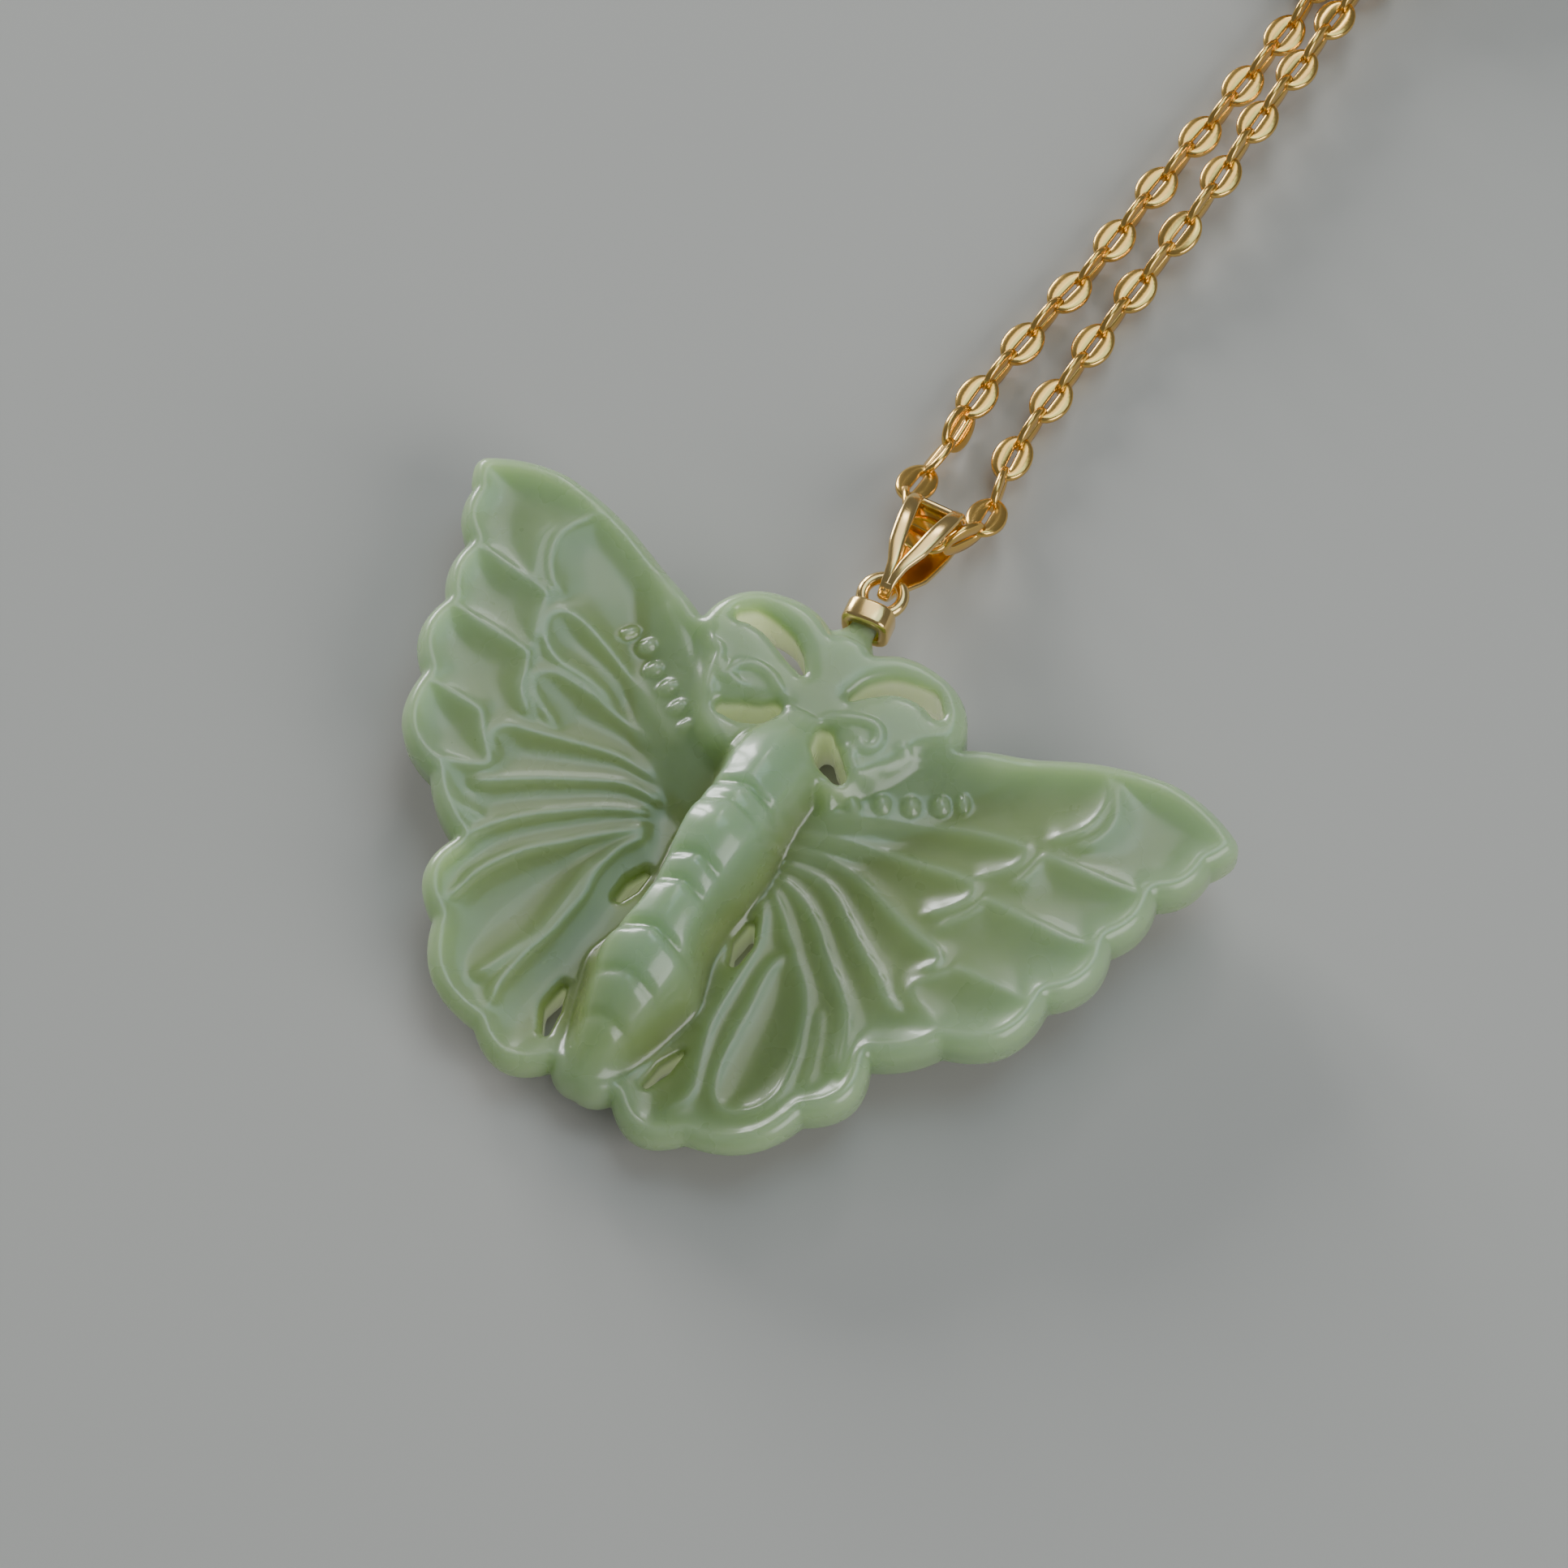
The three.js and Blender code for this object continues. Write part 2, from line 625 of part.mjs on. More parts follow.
addPiece('jade_butterfly', jadeButterfly(), JADE, 0.25, 0);
addPiece('bail_cap', bailCap(), GOLD, 0.2, 1);
addPiece('bail', bail(), GOLD, 0.2, 1);
addPiece('chain', chain(), GOLD, 0.25, 1);
addPiece('chain_coil', chainCoil(), GOLD, 0.3, 1);

export default pendant;
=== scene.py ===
# A carved jade butterfly pendant with its gold-plated cap, bail and chain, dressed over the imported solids.
import math

import bpy
import numpy as np
from mathutils import Matrix, Vector


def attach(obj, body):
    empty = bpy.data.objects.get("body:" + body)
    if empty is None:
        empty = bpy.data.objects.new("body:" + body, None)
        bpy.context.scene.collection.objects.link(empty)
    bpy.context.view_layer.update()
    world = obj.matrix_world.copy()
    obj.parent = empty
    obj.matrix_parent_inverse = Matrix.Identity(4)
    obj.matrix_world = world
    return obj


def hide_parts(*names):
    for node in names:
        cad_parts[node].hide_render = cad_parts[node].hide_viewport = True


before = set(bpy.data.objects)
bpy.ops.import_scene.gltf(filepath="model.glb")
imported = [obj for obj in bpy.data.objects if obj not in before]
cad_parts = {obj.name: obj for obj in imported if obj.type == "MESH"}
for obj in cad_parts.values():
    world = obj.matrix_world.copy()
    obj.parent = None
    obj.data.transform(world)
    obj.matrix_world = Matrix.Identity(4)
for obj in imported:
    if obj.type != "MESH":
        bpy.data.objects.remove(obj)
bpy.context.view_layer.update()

# The camera
# It looks down on the lying pendant from the front right, as a close-up of jewellery does, with the
# butterfly's head and the chain running to the upper right of the picture.
MM = 0.001
VIEW_AZIMUTH = math.radians(33.51)
VIEW_ELEVATION = math.radians(63.99)
VIEW_ROLL = math.radians(3.2)
VIEW_DISTANCE = 166.4 * MM
VIEW_TARGET = Vector((-0.29, 4.73, 0)) * MM
SENSOR_WIDTH = 36.0
FOCAL_LENGTH = 108.65


def view_axes():
    """Right, up and back axes of the camera: azimuth and elevation place it on a sphere, then it rolls."""
    flat = math.cos(VIEW_ELEVATION)
    back = Vector((math.sin(VIEW_AZIMUTH) * flat, -math.cos(VIEW_AZIMUTH) * flat, math.sin(VIEW_ELEVATION)))
    level = Vector((0, 0, 1)).cross(back).normalized()
    up = back.cross(level)
    right = level * math.cos(VIEW_ROLL) - up * math.sin(VIEW_ROLL)
    return right, back.cross(right), back


right, up, back = view_axes()
camera = bpy.data.objects.new("camera", bpy.data.cameras.new("camera"))
camera.data.sensor_width = SENSOR_WIDTH
camera.data.lens = FOCAL_LENGTH
camera.data.clip_start = 1 * MM
axes = Matrix((right, up, back)).transposed().to_4x4()
camera.matrix_world = Matrix.Translation(VIEW_TARGET + back * VIEW_DISTANCE) @ axes
bpy.context.scene.collection.objects.link(camera)
bpy.context.scene.camera = camera

# The jade butterfly
# One piece of pale grey-green nephrite, sawn to a scalloped outline, carved in low relief on its face
# and pierced with a fretsaw, then polished to a waxy gloss. Its back is left plain.
WING_ROOT_TOP = 2.2
WING_RIM_TOP = 3.75
WING_EDGE_THICKNESS = 1.9
DISH_START = 1.5
DISH_END = 12.5
BELLY_HALF_WIDTH = 1.7
SCROLL_TOP = 3.9
SCROLL_BOTTOM = 1.5
TAIL_BOTTOM = 0.9
TAIL_RISE = (5.0, 9.5)
BELLY_BLEND = 3.5
SCROLL_RISE = (4.5, 8.0)
# The stem that the cap is glued over: middle, half width and end, the heights of its two faces, where
# along and across it grows out of the scrollwork, and how its root flares
STEM = (-0.2, 0.56, 10.4)
STEM_TOP = 3.25
STEM_BOTTOM = 2.35
STEM_START = (9.0, 9.9)
STEM_SPREAD = (0.6, 1.6)
STEM_FLARE = 0.35
FLARE_RUN = (9.2, 10.05)

# The outline of the right half, clockwise from the stem: corner, then the outward swell of the arc
# to the next corner.
HALF_OUTLINE = (
    (0.8, 9.3, 0.22), (3.0, 9.75, 0.55), (5.25, 7.65, 0.08), (9.0, 9.35, 0.1), (12.2, 10.0, 0.2),
    (15.1, 9.2, 0.14), (15.3, 8.5, 0.04), (14.9, 7.8, 0.32), (13.85, 5.85, 0.3), (13.35, 3.6, 0.55),
    (12.5, 0.75, 0.85), (10.2, -2.4, 0.2), (8.3, -3.9, 0.7), (7.35, -6.8, 0.75), (4.2, -9.3, 0.75),
    (1.2, -9.2, 0.2), (0.0, -9.65, 0.0),
)
# The carved ridges of each wing, a little different left and right: weight, then points along the
# crest, with X counted outwards from the body. The points are read off the photo laid flat as if
# all of it were READ_HEIGHT up. A crest is READ_RISE over the dished wing, and for each millimetre that
# it differs from READ_HEIGHT it is read READ_DRIFT off its place.
READ_HEIGHT = 3.2
READ_RISE = 0.2
VIEW_SLANT = 1 / math.tan(VIEW_ELEVATION)
READ_DRIFT = (round(VIEW_SLANT * math.sin(VIEW_AZIMUTH), 3), round(VIEW_SLANT * math.cos(VIEW_AZIMUTH), 3))
RIGHT_RIDGES = (
    (1, ((3, 4.6), (3.25, 5.03), (3.94, 5.9), (4.5, 6.35), (5, 6.85), (5.6, 7.4))),
    (0.8, ((9.6, 9.55), (10, 9.2), (10.4, 8.52), (10.48, 7.97), (10.34, 7.31), (9.96, 6.71),
        (9.46, 6.21))),
    (0.8, ((10.4, 9.2), (10.84, 8.41), (11, 7.86), (10.95, 7.31), (10.67, 6.71), (10.35, 6.4))),
    (0.7, ((2.4, 2.7), (3.05, 3.16), (3.94, 3.65), (4.93, 4.14), (5.9, 4.64), (6.9, 5.08), (7.9, 5.38),
        (8.6, 5.52), (8.97, 5.45), (9.05, 5.12), (8.88, 4.68), (8.53, 4.24), (7.98, 3.69))),
    (0.9, ((2, 1.9), (2.96, 2.22), (3.65, 2.5), (4.43, 2.8), (5.2, 3), (5.9, 3.12), (6.99, 3.36),
        (7.65, 3.47), (8.09, 3.35), (8.2, 3.03), (7.98, 2.59), (7.65, 2.15), (7.2, 1.7))),
    (1, ((1.87, 1.29), (2.46, 1.48), (3.25, 1.68), (3.94, 1.73), (4.73, 1.63), (5.5, 1.38), (6.4, 1.09),
        (7.3, 0.84), (8, 0.72), (8.4, 0.5), (8.4, 0.2), (8.1, -0.1))),
    (1, ((2, 0.74), (2.46, 0.89), (3.15, 0.97), (3.84, 0.87), (4.43, 0.55), (5, 0.15), (5.9, -0.49),
        (6.8, -1.03), (7.3, -1.4), (7.65, -1.7), (8.2, -1.9))),
    (1, ((2, 0.3), (2.66, 0.25), (3.35, 0), (3.94, -0.34), (4.5, -0.78), (5.1, -1.37), (5.6, -1.8),
        (6.1, -2.19), (6.7, -2.78), (7.1, -3.47), (7.4, -4.26), (7.6, -4.85))),
    (0.9, ((2.1, -0.04), (2.96, -0.73), (3.65, -1.4), (4.2, -1.95), (5, -2.68), (5.5, -3.47), (5.8, -4.26),
        (6.05, -4.95), (6.2, -5.74), (6.26, -6.43), (6.06, -7.1), (5.7, -7.6), (5.1, -7.95), (4.6, -7.85),
        (4.25, -7.4), (4, -6.6), (3.92, -5.9), (3.84, -5.24), (3.8, -4.46), (3.7, -3.5), (3.65, -2.8),
        (3.8, -2.1))),
    (0.5, ((5.9, -3.2), (6.3, -4), (6.65, -4.9), (6.85, -5.8))),
    (0.9, ((2.1, -0.59), (2.46, -1.18), (2.68, -1.75), (2.86, -2.5), (2.88, -3.5), (2.9, -4.5),
        (2.96, -5.44), (3.15, -6.2), (3.4, -7), (3.65, -7.8), (3.6, -8.4), (3.3, -9))),
    (0.8, ((9.57, 5.45), (9.75, 5.62), (10.3, 5.68), (11.27, 5.75), (12.15, 5.83), (13, 5.95))),
    (0.7, ((9.57, 5.45), (9.54, 5.12), (9.43, 4.57), (9.19, 3.96))),
    (0.8, ((8.66, 3.1), (8.85, 3.2), (9.5, 3.2), (10.4, 3.22), (11.49, 3.25), (12.3, 3.4), (12.95, 3.74))),
    (0.7, ((8.66, 3.1), (8.58, 2.7), (8.31, 2.15), (7.98, 1.7), (7.87, 1.38))),
    (0.7, ((8.97, 0.34), (9.4, 0.52), (10, 0.56), (10.6, 0.57), (11.5, 0.6), (12, 0.75))),
    (0.6, ((8.97, 0.34), (8.53, -0.27), (8.09, -0.82), (8.5, -1.25), (9.2, -1.6), (9.9, -1.85))),
)
LEFT_RIDGES = (
    (1, ((2.56, 3.45), (2.96, 3.95), (3.45, 4.64), (4.04, 5.28), (4.63, 5.77), (5.2, 6.26), (5.9, 6.8),
        (6.5, 7.3))),
    (0.8, ((10.4, 9.5), (10.78, 9.07), (11.16, 8.52), (11.33, 7.97), (11.22, 7.31), (10.95, 6.76),
        (10.5, 6.27), (10, 6))),
    (0.6, ((11.6, 8.3), (11.77, 7.75), (11.66, 7.1), (11.33, 6.43), (10.97, 5.86))),
    (0.8, ((3.4, 2.8), (4.1, 3.16), (4.73, 3.5), (5.5, 4), (6.3, 4.4), (7.1, 4.78), (7.76, 5.06),
        (8.64, 5.39), (9.3, 5.5), (9.8, 5.34), (9.93, 4.95), (9.74, 4.46), (9.3, 3.96), (8.64, 3.68),
        (7.9, 3.64), (7.1, 3.5), (6.3, 3.25))),
    (0.6, ((4.24, 2.47), (5.5, 2.8), (6.7, 3.06), (7.7, 3.2), (8.47, 3.25), (8.97, 3.08), (9.13, 2.8),
        (8.9, 2.37), (8.4, 1.93), (7.5, 1.5))),
    (0.7, ((3.5, 1.4), (4.63, 1.58), (5.3, 1.53), (6.1, 1.38), (6.9, 1.19), (7.7, 0.99), (8.5, 0.82),
        (9, 0.66), (9.24, 0.33), (9.19, 0), (8.8, -0.3))),
    (0.9, ((2.9, 0.75), (3.65, 0.81), (4.33, 0.74), (5, 0.45), (5.9, 0), (6.9, -0.54), (7.8, -1.08),
        (8.37, -1.47), (8.87, -1.77))),
    (0.9, ((3, 0.2), (3.94, -0.2), (4.73, -0.64), (5.5, -1.18), (6.2, -1.67), (6.7, -2.1), (7.3, -2.7),
        (7.75, -3.37), (8.1, -3.96))),
    (0.9, ((2.7, -0.3), (3.4, -0.85), (4.24, -1.55), (4.93, -2.2), (5.7, -2.88), (6.2, -3.47),
        (6.6, -4.06), (6.9, -4.65), (7.04, -5.24), (7.2, -5.9))),
    (0.9, ((2.6, -0.6), (3, -1.2), (3.2, -1.6), (3.4, -2.5), (3.3, -3.5), (3.4, -4.46), (3.55, -5.44),
        (3.8, -6.2), (3.94, -7), (4.04, -7.8), (3.9, -8.6))),
    (0.7, ((3.6, -2.4), (3.65, -3), (3.68, -3.96), (3.84, -5.44), (4.24, -6.4), (4.63, -7.4),
        (4.93, -7.95))),
    (0.9, ((10.34, 5.5), (10.5, 5.75), (10.9, 5.85), (11.7, 5.94), (12.6, 6.05), (13.5, 6.2))),
    (0.8, ((10.34, 5.5), (10.29, 5), (10.07, 4.35), (9.85, 3.9))),
    (0.9, ((9.68, 3.2), (9.9, 3.45), (10.6, 3.55), (11.5, 3.6), (12.4, 3.65), (13.3, 3.85))),
    (0.9, ((9.68, 3.2), (9.5, 2.7), (9.3, 2.15), (8.9, 1.7), (8.5, 1.38))),
    (0.9, ((9.9, 0.6), (10.2, 0.74), (10.95, 0.77), (12.15, 0.83))),
    (0.9, ((9.9, 0.6), (9.63, 0.12), (9.19, -0.38), (8.7, -0.85), (9.3, -1.26), (9.96, -1.48),
        (10.7, -1.65))),
    (0.7, ((7.75, -2.75), (8.3, -2.75), (9, -2.68), (9.6, -2.4), (10.1, -2))),
)
# Heights over and under the dished wing, how far a flank reaches from its crest, the fine wire left along
# each crest (height, half width), and how far the rim's crest lies inside the outline
RIDGE_HEIGHT = 0.1
RIM_HEIGHT = 0.14
CELL_DEPTH = 0.14
FLANK = 1.3
CREST_ROUNDING = 0.05
CREST_WIRE = (0.07, 0.22)
OVERRUN = 0.3
RIM_CREST = 0.45
DISH_POLISH = 28
FACE_POLISH = 3
# The row of worn blocks along each forewing's leading edge: place, then half length along the row
RIGHT_GRAINS = (
    (2.3, 3.5, 0.24), (3.05, 3.9, 0.27), (3.85, 4.5, 0.3), (4.75, 4.95, 0.3), (5.6, 5.5, 0.32),
    (6.25, 5.95, 0.18),
)
LEFT_GRAINS = (
    (3.6, 3.7, 0.22), (4.2, 4.2, 0.26), (4.95, 4.7, 0.28), (5.75, 5.1, 0.3), (6.4, 5.75, 0.28),
    (7.2, 5.9, 0.18),
)
GRAIN_ROW = (0.83, 0.55)
GRAIN_HALF_WIDTH = 0.42
GRAIN_HEIGHT = 0.3
# The body from head to tail: place along Y, half width, height of its ridge. Soft cross grooves part its
# joints: place, depth.
BODY = (
    (5.9, 1.0, 3.8), (5.2, 1.2, 4.2), (4.6, 1.55, 4.65), (4.0, 1.85, 4.95), (3.2, 1.9, 5.2),
    (2.3, 1.75, 5.3), (1.2, 1.7, 5.6), (0.2, 1.75, 5.95), (-0.8, 1.65, 5.8), (-2.0, 1.45, 5.45),
    (-3.2, 1.5, 5.35), (-4.2, 1.8, 5.2), (-5.0, 2.0, 5.05), (-6.0, 1.75, 4.65), (-7.0, 1.45, 4.1),
    (-8.0, 1.1, 3.5), (-9.0, 0.9, 2.8), (-9.9, 0.8, 2.1),
)
GROOVES = ((2.0, 0.26), (1.1, 0.12), (-1.15, 0.18), (-2.15, 0.2), (-4.0, 0.24), (-5.7, 0.14), (-7.2, 0.12))
GROOVE_HALF_WIDTH = 0.32
GROOVE_LEAN = 0.25
GROOVE_FADE = (0.6, 1.1)
FACET_SPAN = (0.15, 0.68)
FACET_SLOPE = 0.62
TOP_BLEND = 0.25
SHOULDER_BLEND = 0.7
FOOT_BLEND = 0.7
# Openings: middle line, and half width along it
OPENINGS = (
    (((1.0, 7.3), (1.4, 7.9), (2.0, 8.4), (2.65, 8.6), (3.35, 8.6), (3.9, 8.25)),
        (0.12, 0.3, 0.34, 0.34, 0.38, 0.22)),
    (((-0.98, 7.3), (-1.5, 7.7), (-2.1, 8.05), (-2.8, 8.3), (-3.5, 8.38), (-3.95, 8.2)),
        (0.1, 0.32, 0.38, 0.34, 0.34, 0.22)),
    (((0.95, 5.55), (1.2, 5.15), (1.6, 4.8), (2.1, 4.5)), (0.32, 0.48, 0.46, 0.32)),
    (((-1.15, 5.6), (-1.5, 5.2), (-2.1, 4.95), (-2.7, 4.8)), (0.3, 0.4, 0.42, 0.26)),
    (((2.02, -1.3), (2.14, -2.0), (2.22, -2.75)), (0.14, 0.37, 0.18)),
    (((-2.12, -1.4), (-2.3, -2.05), (-2.46, -2.68)), (0.1, 0.24, 0.12)),
    (((2.42, -6.5), (2.18, -7.25), (1.95, -8.1)), (0.08, 0.24, 0.12)),
    (((-2.32, -6.45), (-2.25, -7.3), (-2.0, -8.15)), (0.1, 0.3, 0.14)),
)
# Where the scrollwork meets each wing, X counted outwards, the step's half width, and the wing's rise
# towards it
RIGHT_FOOT = (
    (1.3, 3.4), (2.4, 3.9), (2.86, 4.56), (3.27, 5.13), (3.75, 5.9), (4.1, 6.6), (4.7, 7.15), (5.4, 7.9),
)
LEFT_FOOT = (
    (1.3, 3.0), (2.46, 3.4), (3.2, 4.1), (3.8, 5.0), (4.2, 6.0), (4.7, 6.8), (5.4, 7.9),
)
STEP = 0.45
LIFT = 0.8
LIFT_REACH = 2.6
SCROLL_SINK = 0.2
SCROLL_CUSHION = 0.1
RIM_ROUNDING = 0.7
OPENING_ROUNDING = 0.3
FACE_ROUNDING = 0.5
# Raised lines of the antennae and curls on the scrollwork
ANTENNAE = (
    ((0.6, 5.03), (0.39, 5.43), (0.59, 5.89), (1.17, 6.39), (1.79, 6.65), (2.36, 6.7), (2.71, 6.35),
        (2.69, 5.92), (2.36, 5.74), (2.08, 5.95), (2.16, 6.2)),
    ((3.14, 5.14), (3.53, 5.54), (3.87, 5.97), (3.85, 6.32), (3.57, 6.43), (3.23, 6.27)),
    ((1.67, 5.64), (2.04, 5.44), (2.3, 5.05), (2.9, 4.75)),
    ((-0.53, 5.35), (-1.0, 6.05), (-1.75, 6.57), (-2.48, 6.67), (-2.95, 6.4), (-3.09, 5.97), (-2.78, 5.76),
        (-2.43, 5.82), (-2.37, 6.13)),
    ((-4.7, 7.1), (-4.3, 6.75), (-3.81, 6.54), (-3.72, 5.75), (-3.42, 5.08), (-2.78, 4.82)),
    ((-3.5, 6.44), (-3.4, 5.86), (-3.08, 5.63)),
)
ANTENNA_HEIGHT = 0.14
ANTENNA_FLANK = 0.26
# The plan's fine grid, and the coarser grid of cells in which the skin is found
PLAN_LOW = (-15.9, -10.6)
PLAN_SIZE = (31.8, 21.8)
PLAN_STEP = 0.05
CELLS_LOW = (-15.72, -10.3, -0.23)
CELLS_SIZE = (31.44, 21.2, 6.6)
CELL = (0.121, 0.121, 0.15)
SETTLE_PASSES = 3
SETTLE_SHARE = 0.8
SETTLE_LIMIT = 0.06
SETTLE_REACH = 0.04


def smooth(low, high, value):
    """0 below low, 1 above high, and an S-curve between."""
    t = np.clip((value - low) / (high - low), 0, 1)
    return t * t * (3 - 2 * t)


def bump(distance, half_width):
    """A rounded bump, 1 on its middle line and 0 from half_width on."""
    t = np.clip(distance / half_width, 0, 1)
    return (1 - t * t) ** 2


def arc(start, end, swell, steps):
    """Points from start to end, swollen to the left of the way by a parabola of height swell."""
    t = np.linspace(0, 1, steps + 1)[:, None]
    start, end = np.array(start), np.array(end)
    along = (end - start) / np.linalg.norm(end - start)
    left = np.array((-along[1], along[0]))
    return start + (end - start) * t + left * (4 * swell * t * (1 - t))


def smooth_line(points, steps):
    """A Catmull-Rom line through points: on each span, the cubic that its four neighbours give."""
    p = np.array(points, float)
    p = np.vstack((2 * p[0] - p[1], p, 2 * p[-1] - p[-2]))
    t = np.linspace(0, 1, steps, endpoint=False)[:, None]
    spans = []
    for a, b, c, d in zip(p[:-3], p[1:-2], p[2:-1], p[3:]):
        square, cube = 2 * a - 5 * b + 4 * c - d, 3 * b - a - 3 * c + d
        spans.append(b + 0.5 * ((c - a) * t + square * t ** 2 + cube * t ** 3))
    return np.vstack(spans + [p[-2:-1]])


def overrun(line, reach):
    """The line, run on straight at both ends by reach."""
    before, after = line[0] - line[1], line[-1] - line[-2]
    return np.vstack((
        line[0] + before * reach / np.linalg.norm(before), line,
        line[-1] + after * reach / np.linalg.norm(after)))


def near_line(x, y, line):
    """Distance from plan points to a line of points, place along it (0 to 1) and side (+1 for left)."""
    best = np.full(x.shape, 1e9)
    place = np.zeros(x.shape)
    side = np.zeros(x.shape)
    last = len(line) - 1
    for i in range(last):
        ax, ay = line[i]
        dx, dy = line[i + 1] - line[i]
        t = np.clip(((x - ax) * dx + (y - ay) * dy) / (dx * dx + dy * dy), 0, 1)
        distance = np.hypot(x - ax - t * dx, y - ay - t * dy)
        closer = distance < best
        best = np.where(closer, distance, best)
        place = np.where(closer, (i + t) / last, place)
        side = np.where(closer, np.sign(dx * (y - ay) - dy * (x - ax)), side)
    return best, place, side


def outline_distance(x, y):
    """Signed distance to the outline and the stem, negative inside: nearest distance, signed by the parity
    of crossings."""
    pieces = []
    for (ax, ay, swell), (bx, by, _) in zip(HALF_OUTLINE[:-1], HALF_OUTLINE[1:]):
        pieces.append(arc((ax, ay), (bx, by), swell, 12)[:-1])
    half = np.vstack(pieces + [np.array([HALF_OUTLINE[-1][:2]])])
    far = np.abs(x)
    distance = near_line(far, y, half)[0]
    ring = np.vstack((half, [(0, HALF_OUTLINE[0][1])]))
    inside = np.zeros(x.shape, bool)
    for (ax, ay), (bx, by) in zip(ring, np.roll(ring, -1, axis=0)):
        if ay != by:
            crosses = (ay > y) != (by > y)
            inside ^= crosses & (far < ax + (y - ay) * (bx - ax) / (by - ay))
    middle, half_width, end = STEM
    flare = STEM_FLARE * (1 - smooth(*FLARE_RUN, y))
    stem = np.maximum(np.maximum(np.abs(x - middle) - half_width - flare, y - end), STEM_START[0] - y)
    return np.minimum(np.where(inside, -distance, distance), stem)


def opening_distance(x, y):
    """Signed distance to the openings, negative inside: distance to the middle line less half the width."""
    nearest = np.full(x.shape, 1e9)
    for points, half_widths in OPENINGS:
        distance, place, _ = near_line(x, y, smooth_line(points, 6))
        width = np.interp(place, np.linspace(0, 1, len(half_widths)), half_widths)
        nearest = np.minimum(nearest, distance - width)
    return nearest


def wing_base(far):
    """The dished wing: low at its root and rising to the rim in an S-curve."""
    return WING_ROOT_TOP + (WING_RIM_TOP - WING_ROOT_TOP) * smooth(DISH_START, DISH_END, far)


def crest_place(point, side):
    """Where a crest point lies, to a hundredth: as it was read, less the drift that its height gives it."""
    x, y = point
    far = x
    for _ in range(4):
        over = wing_base(far) + READ_RISE - READ_HEIGHT
        far = x + side * READ_DRIFT[0] * over
    return round(float(far), 2), round(float(y - READ_DRIFT[1] * over), 2)


def flank(distance, reach):
    """How far a cell's floor has sunk at a distance from a crest: steep by it, level from reach on."""
    away = np.hypot(distance, CREST_ROUNDING) - CREST_ROUNDING
    return 1 - (1 - np.clip(away / reach, 0, 1)) ** 2


def on_stem(far, y):
    """How far a point belongs to the stem: 0 on the scrollwork and 1 on the stem, in S-curves."""
    return smooth(*STEM_START, y) * (1 - smooth(*STEM_SPREAD, far))


def soft_max(a, b, blend):
    """The larger of two fields, rounded over a width of blend where they meet."""
    h = np.maximum(blend - np.abs(a - b), 0) / blend
    return np.maximum(a, b) + h * h * blend / 4


def polished(height, passes):
    """Passes of a 1-2-1 blur each way over the plan, as polishing rounds what the tools left."""
    for _ in range(passes):
        for axis in (0, 1):
            height = (np.roll(height, 1, axis) + 2 * height + np.roll(height, -1, axis)) / 4
    return height


def wing_relief(far, y, edge, ridges, grains):
    """Soft dished cells between crests, a fine wire left along each crest and just inside the rim, and a
    row of worn blocks."""
    inward = -edge - RIM_CREST
    rim = np.where(inward < 0, -0.5 * inward, inward)
    wire, wire_width = CREST_WIRE
    dish = RIM_HEIGHT - (RIM_HEIGHT + CELL_DEPTH) * flank(rim, FLANK)
    wires = wire * bump(rim, wire_width)
    for weight, points in ridges:
        line = overrun(smooth_line(points, 5), OVERRUN)
        low, high = line.min(0) - FLANK, line.max(0) + FLANK
        by = (far > low[0]) & (far < high[0]) & (y > low[1]) & (y < high[1])
        distance, place, _ = near_line(far[by], y[by], line)
        length = np.hypot(*np.diff(line, axis=0).T).sum()
        ends = smooth(-0.1, 0.4, (0.5 - np.abs(place - 0.5)) * length)
        crest = (RIDGE_HEIGHT * weight + CELL_DEPTH) * ends - CELL_DEPTH
        height = crest - (crest + CELL_DEPTH) * flank(distance, FLANK)
        dish[by] = np.maximum(dish[by], height)
        wires[by] = np.maximum(wires[by], wire * weight * ends * bump(distance, wire_width))
    relief = polished(dish, DISH_POLISH) + wires
    for x, row_y, half_length in grains:
        along = (far - x) * GRAIN_ROW[0] + (y - row_y) * GRAIN_ROW[1]
        across = (y - row_y) * GRAIN_ROW[0] - (far - x) * GRAIN_ROW[1]
        size = np.abs(along / half_length) ** 2.5 + np.abs(across / GRAIN_HALF_WIDTH) ** 2.5
        relief = np.maximum(relief, -CELL_DEPTH + GRAIN_HEIGHT * (1 - np.minimum(size, 4)))
    return relief


def scroll_height(x, y, edge):
    """The scrollwork plate: cushioned towards its rims, with the raised lines of the antennae, and
    stepping down to the stem."""
    inward = np.minimum(-edge, opening_distance(x, y))
    plate = SCROLL_TOP - SCROLL_SINK + SCROLL_CUSHION * smooth(-0.1, 0.6, inward)
    for points in ANTENNAE:
        distance, place, _ = near_line(x, y, smooth_line(points, 5))
        crest = ANTENNA_HEIGHT * smooth(0, 0.25, 0.5 - np.abs(place - 0.5))
        plate = plate + crest * (1 - flank(distance, ANTENNA_FLANK))
    return plate + (STEM_TOP - plate) * on_stem(np.abs(x), y)


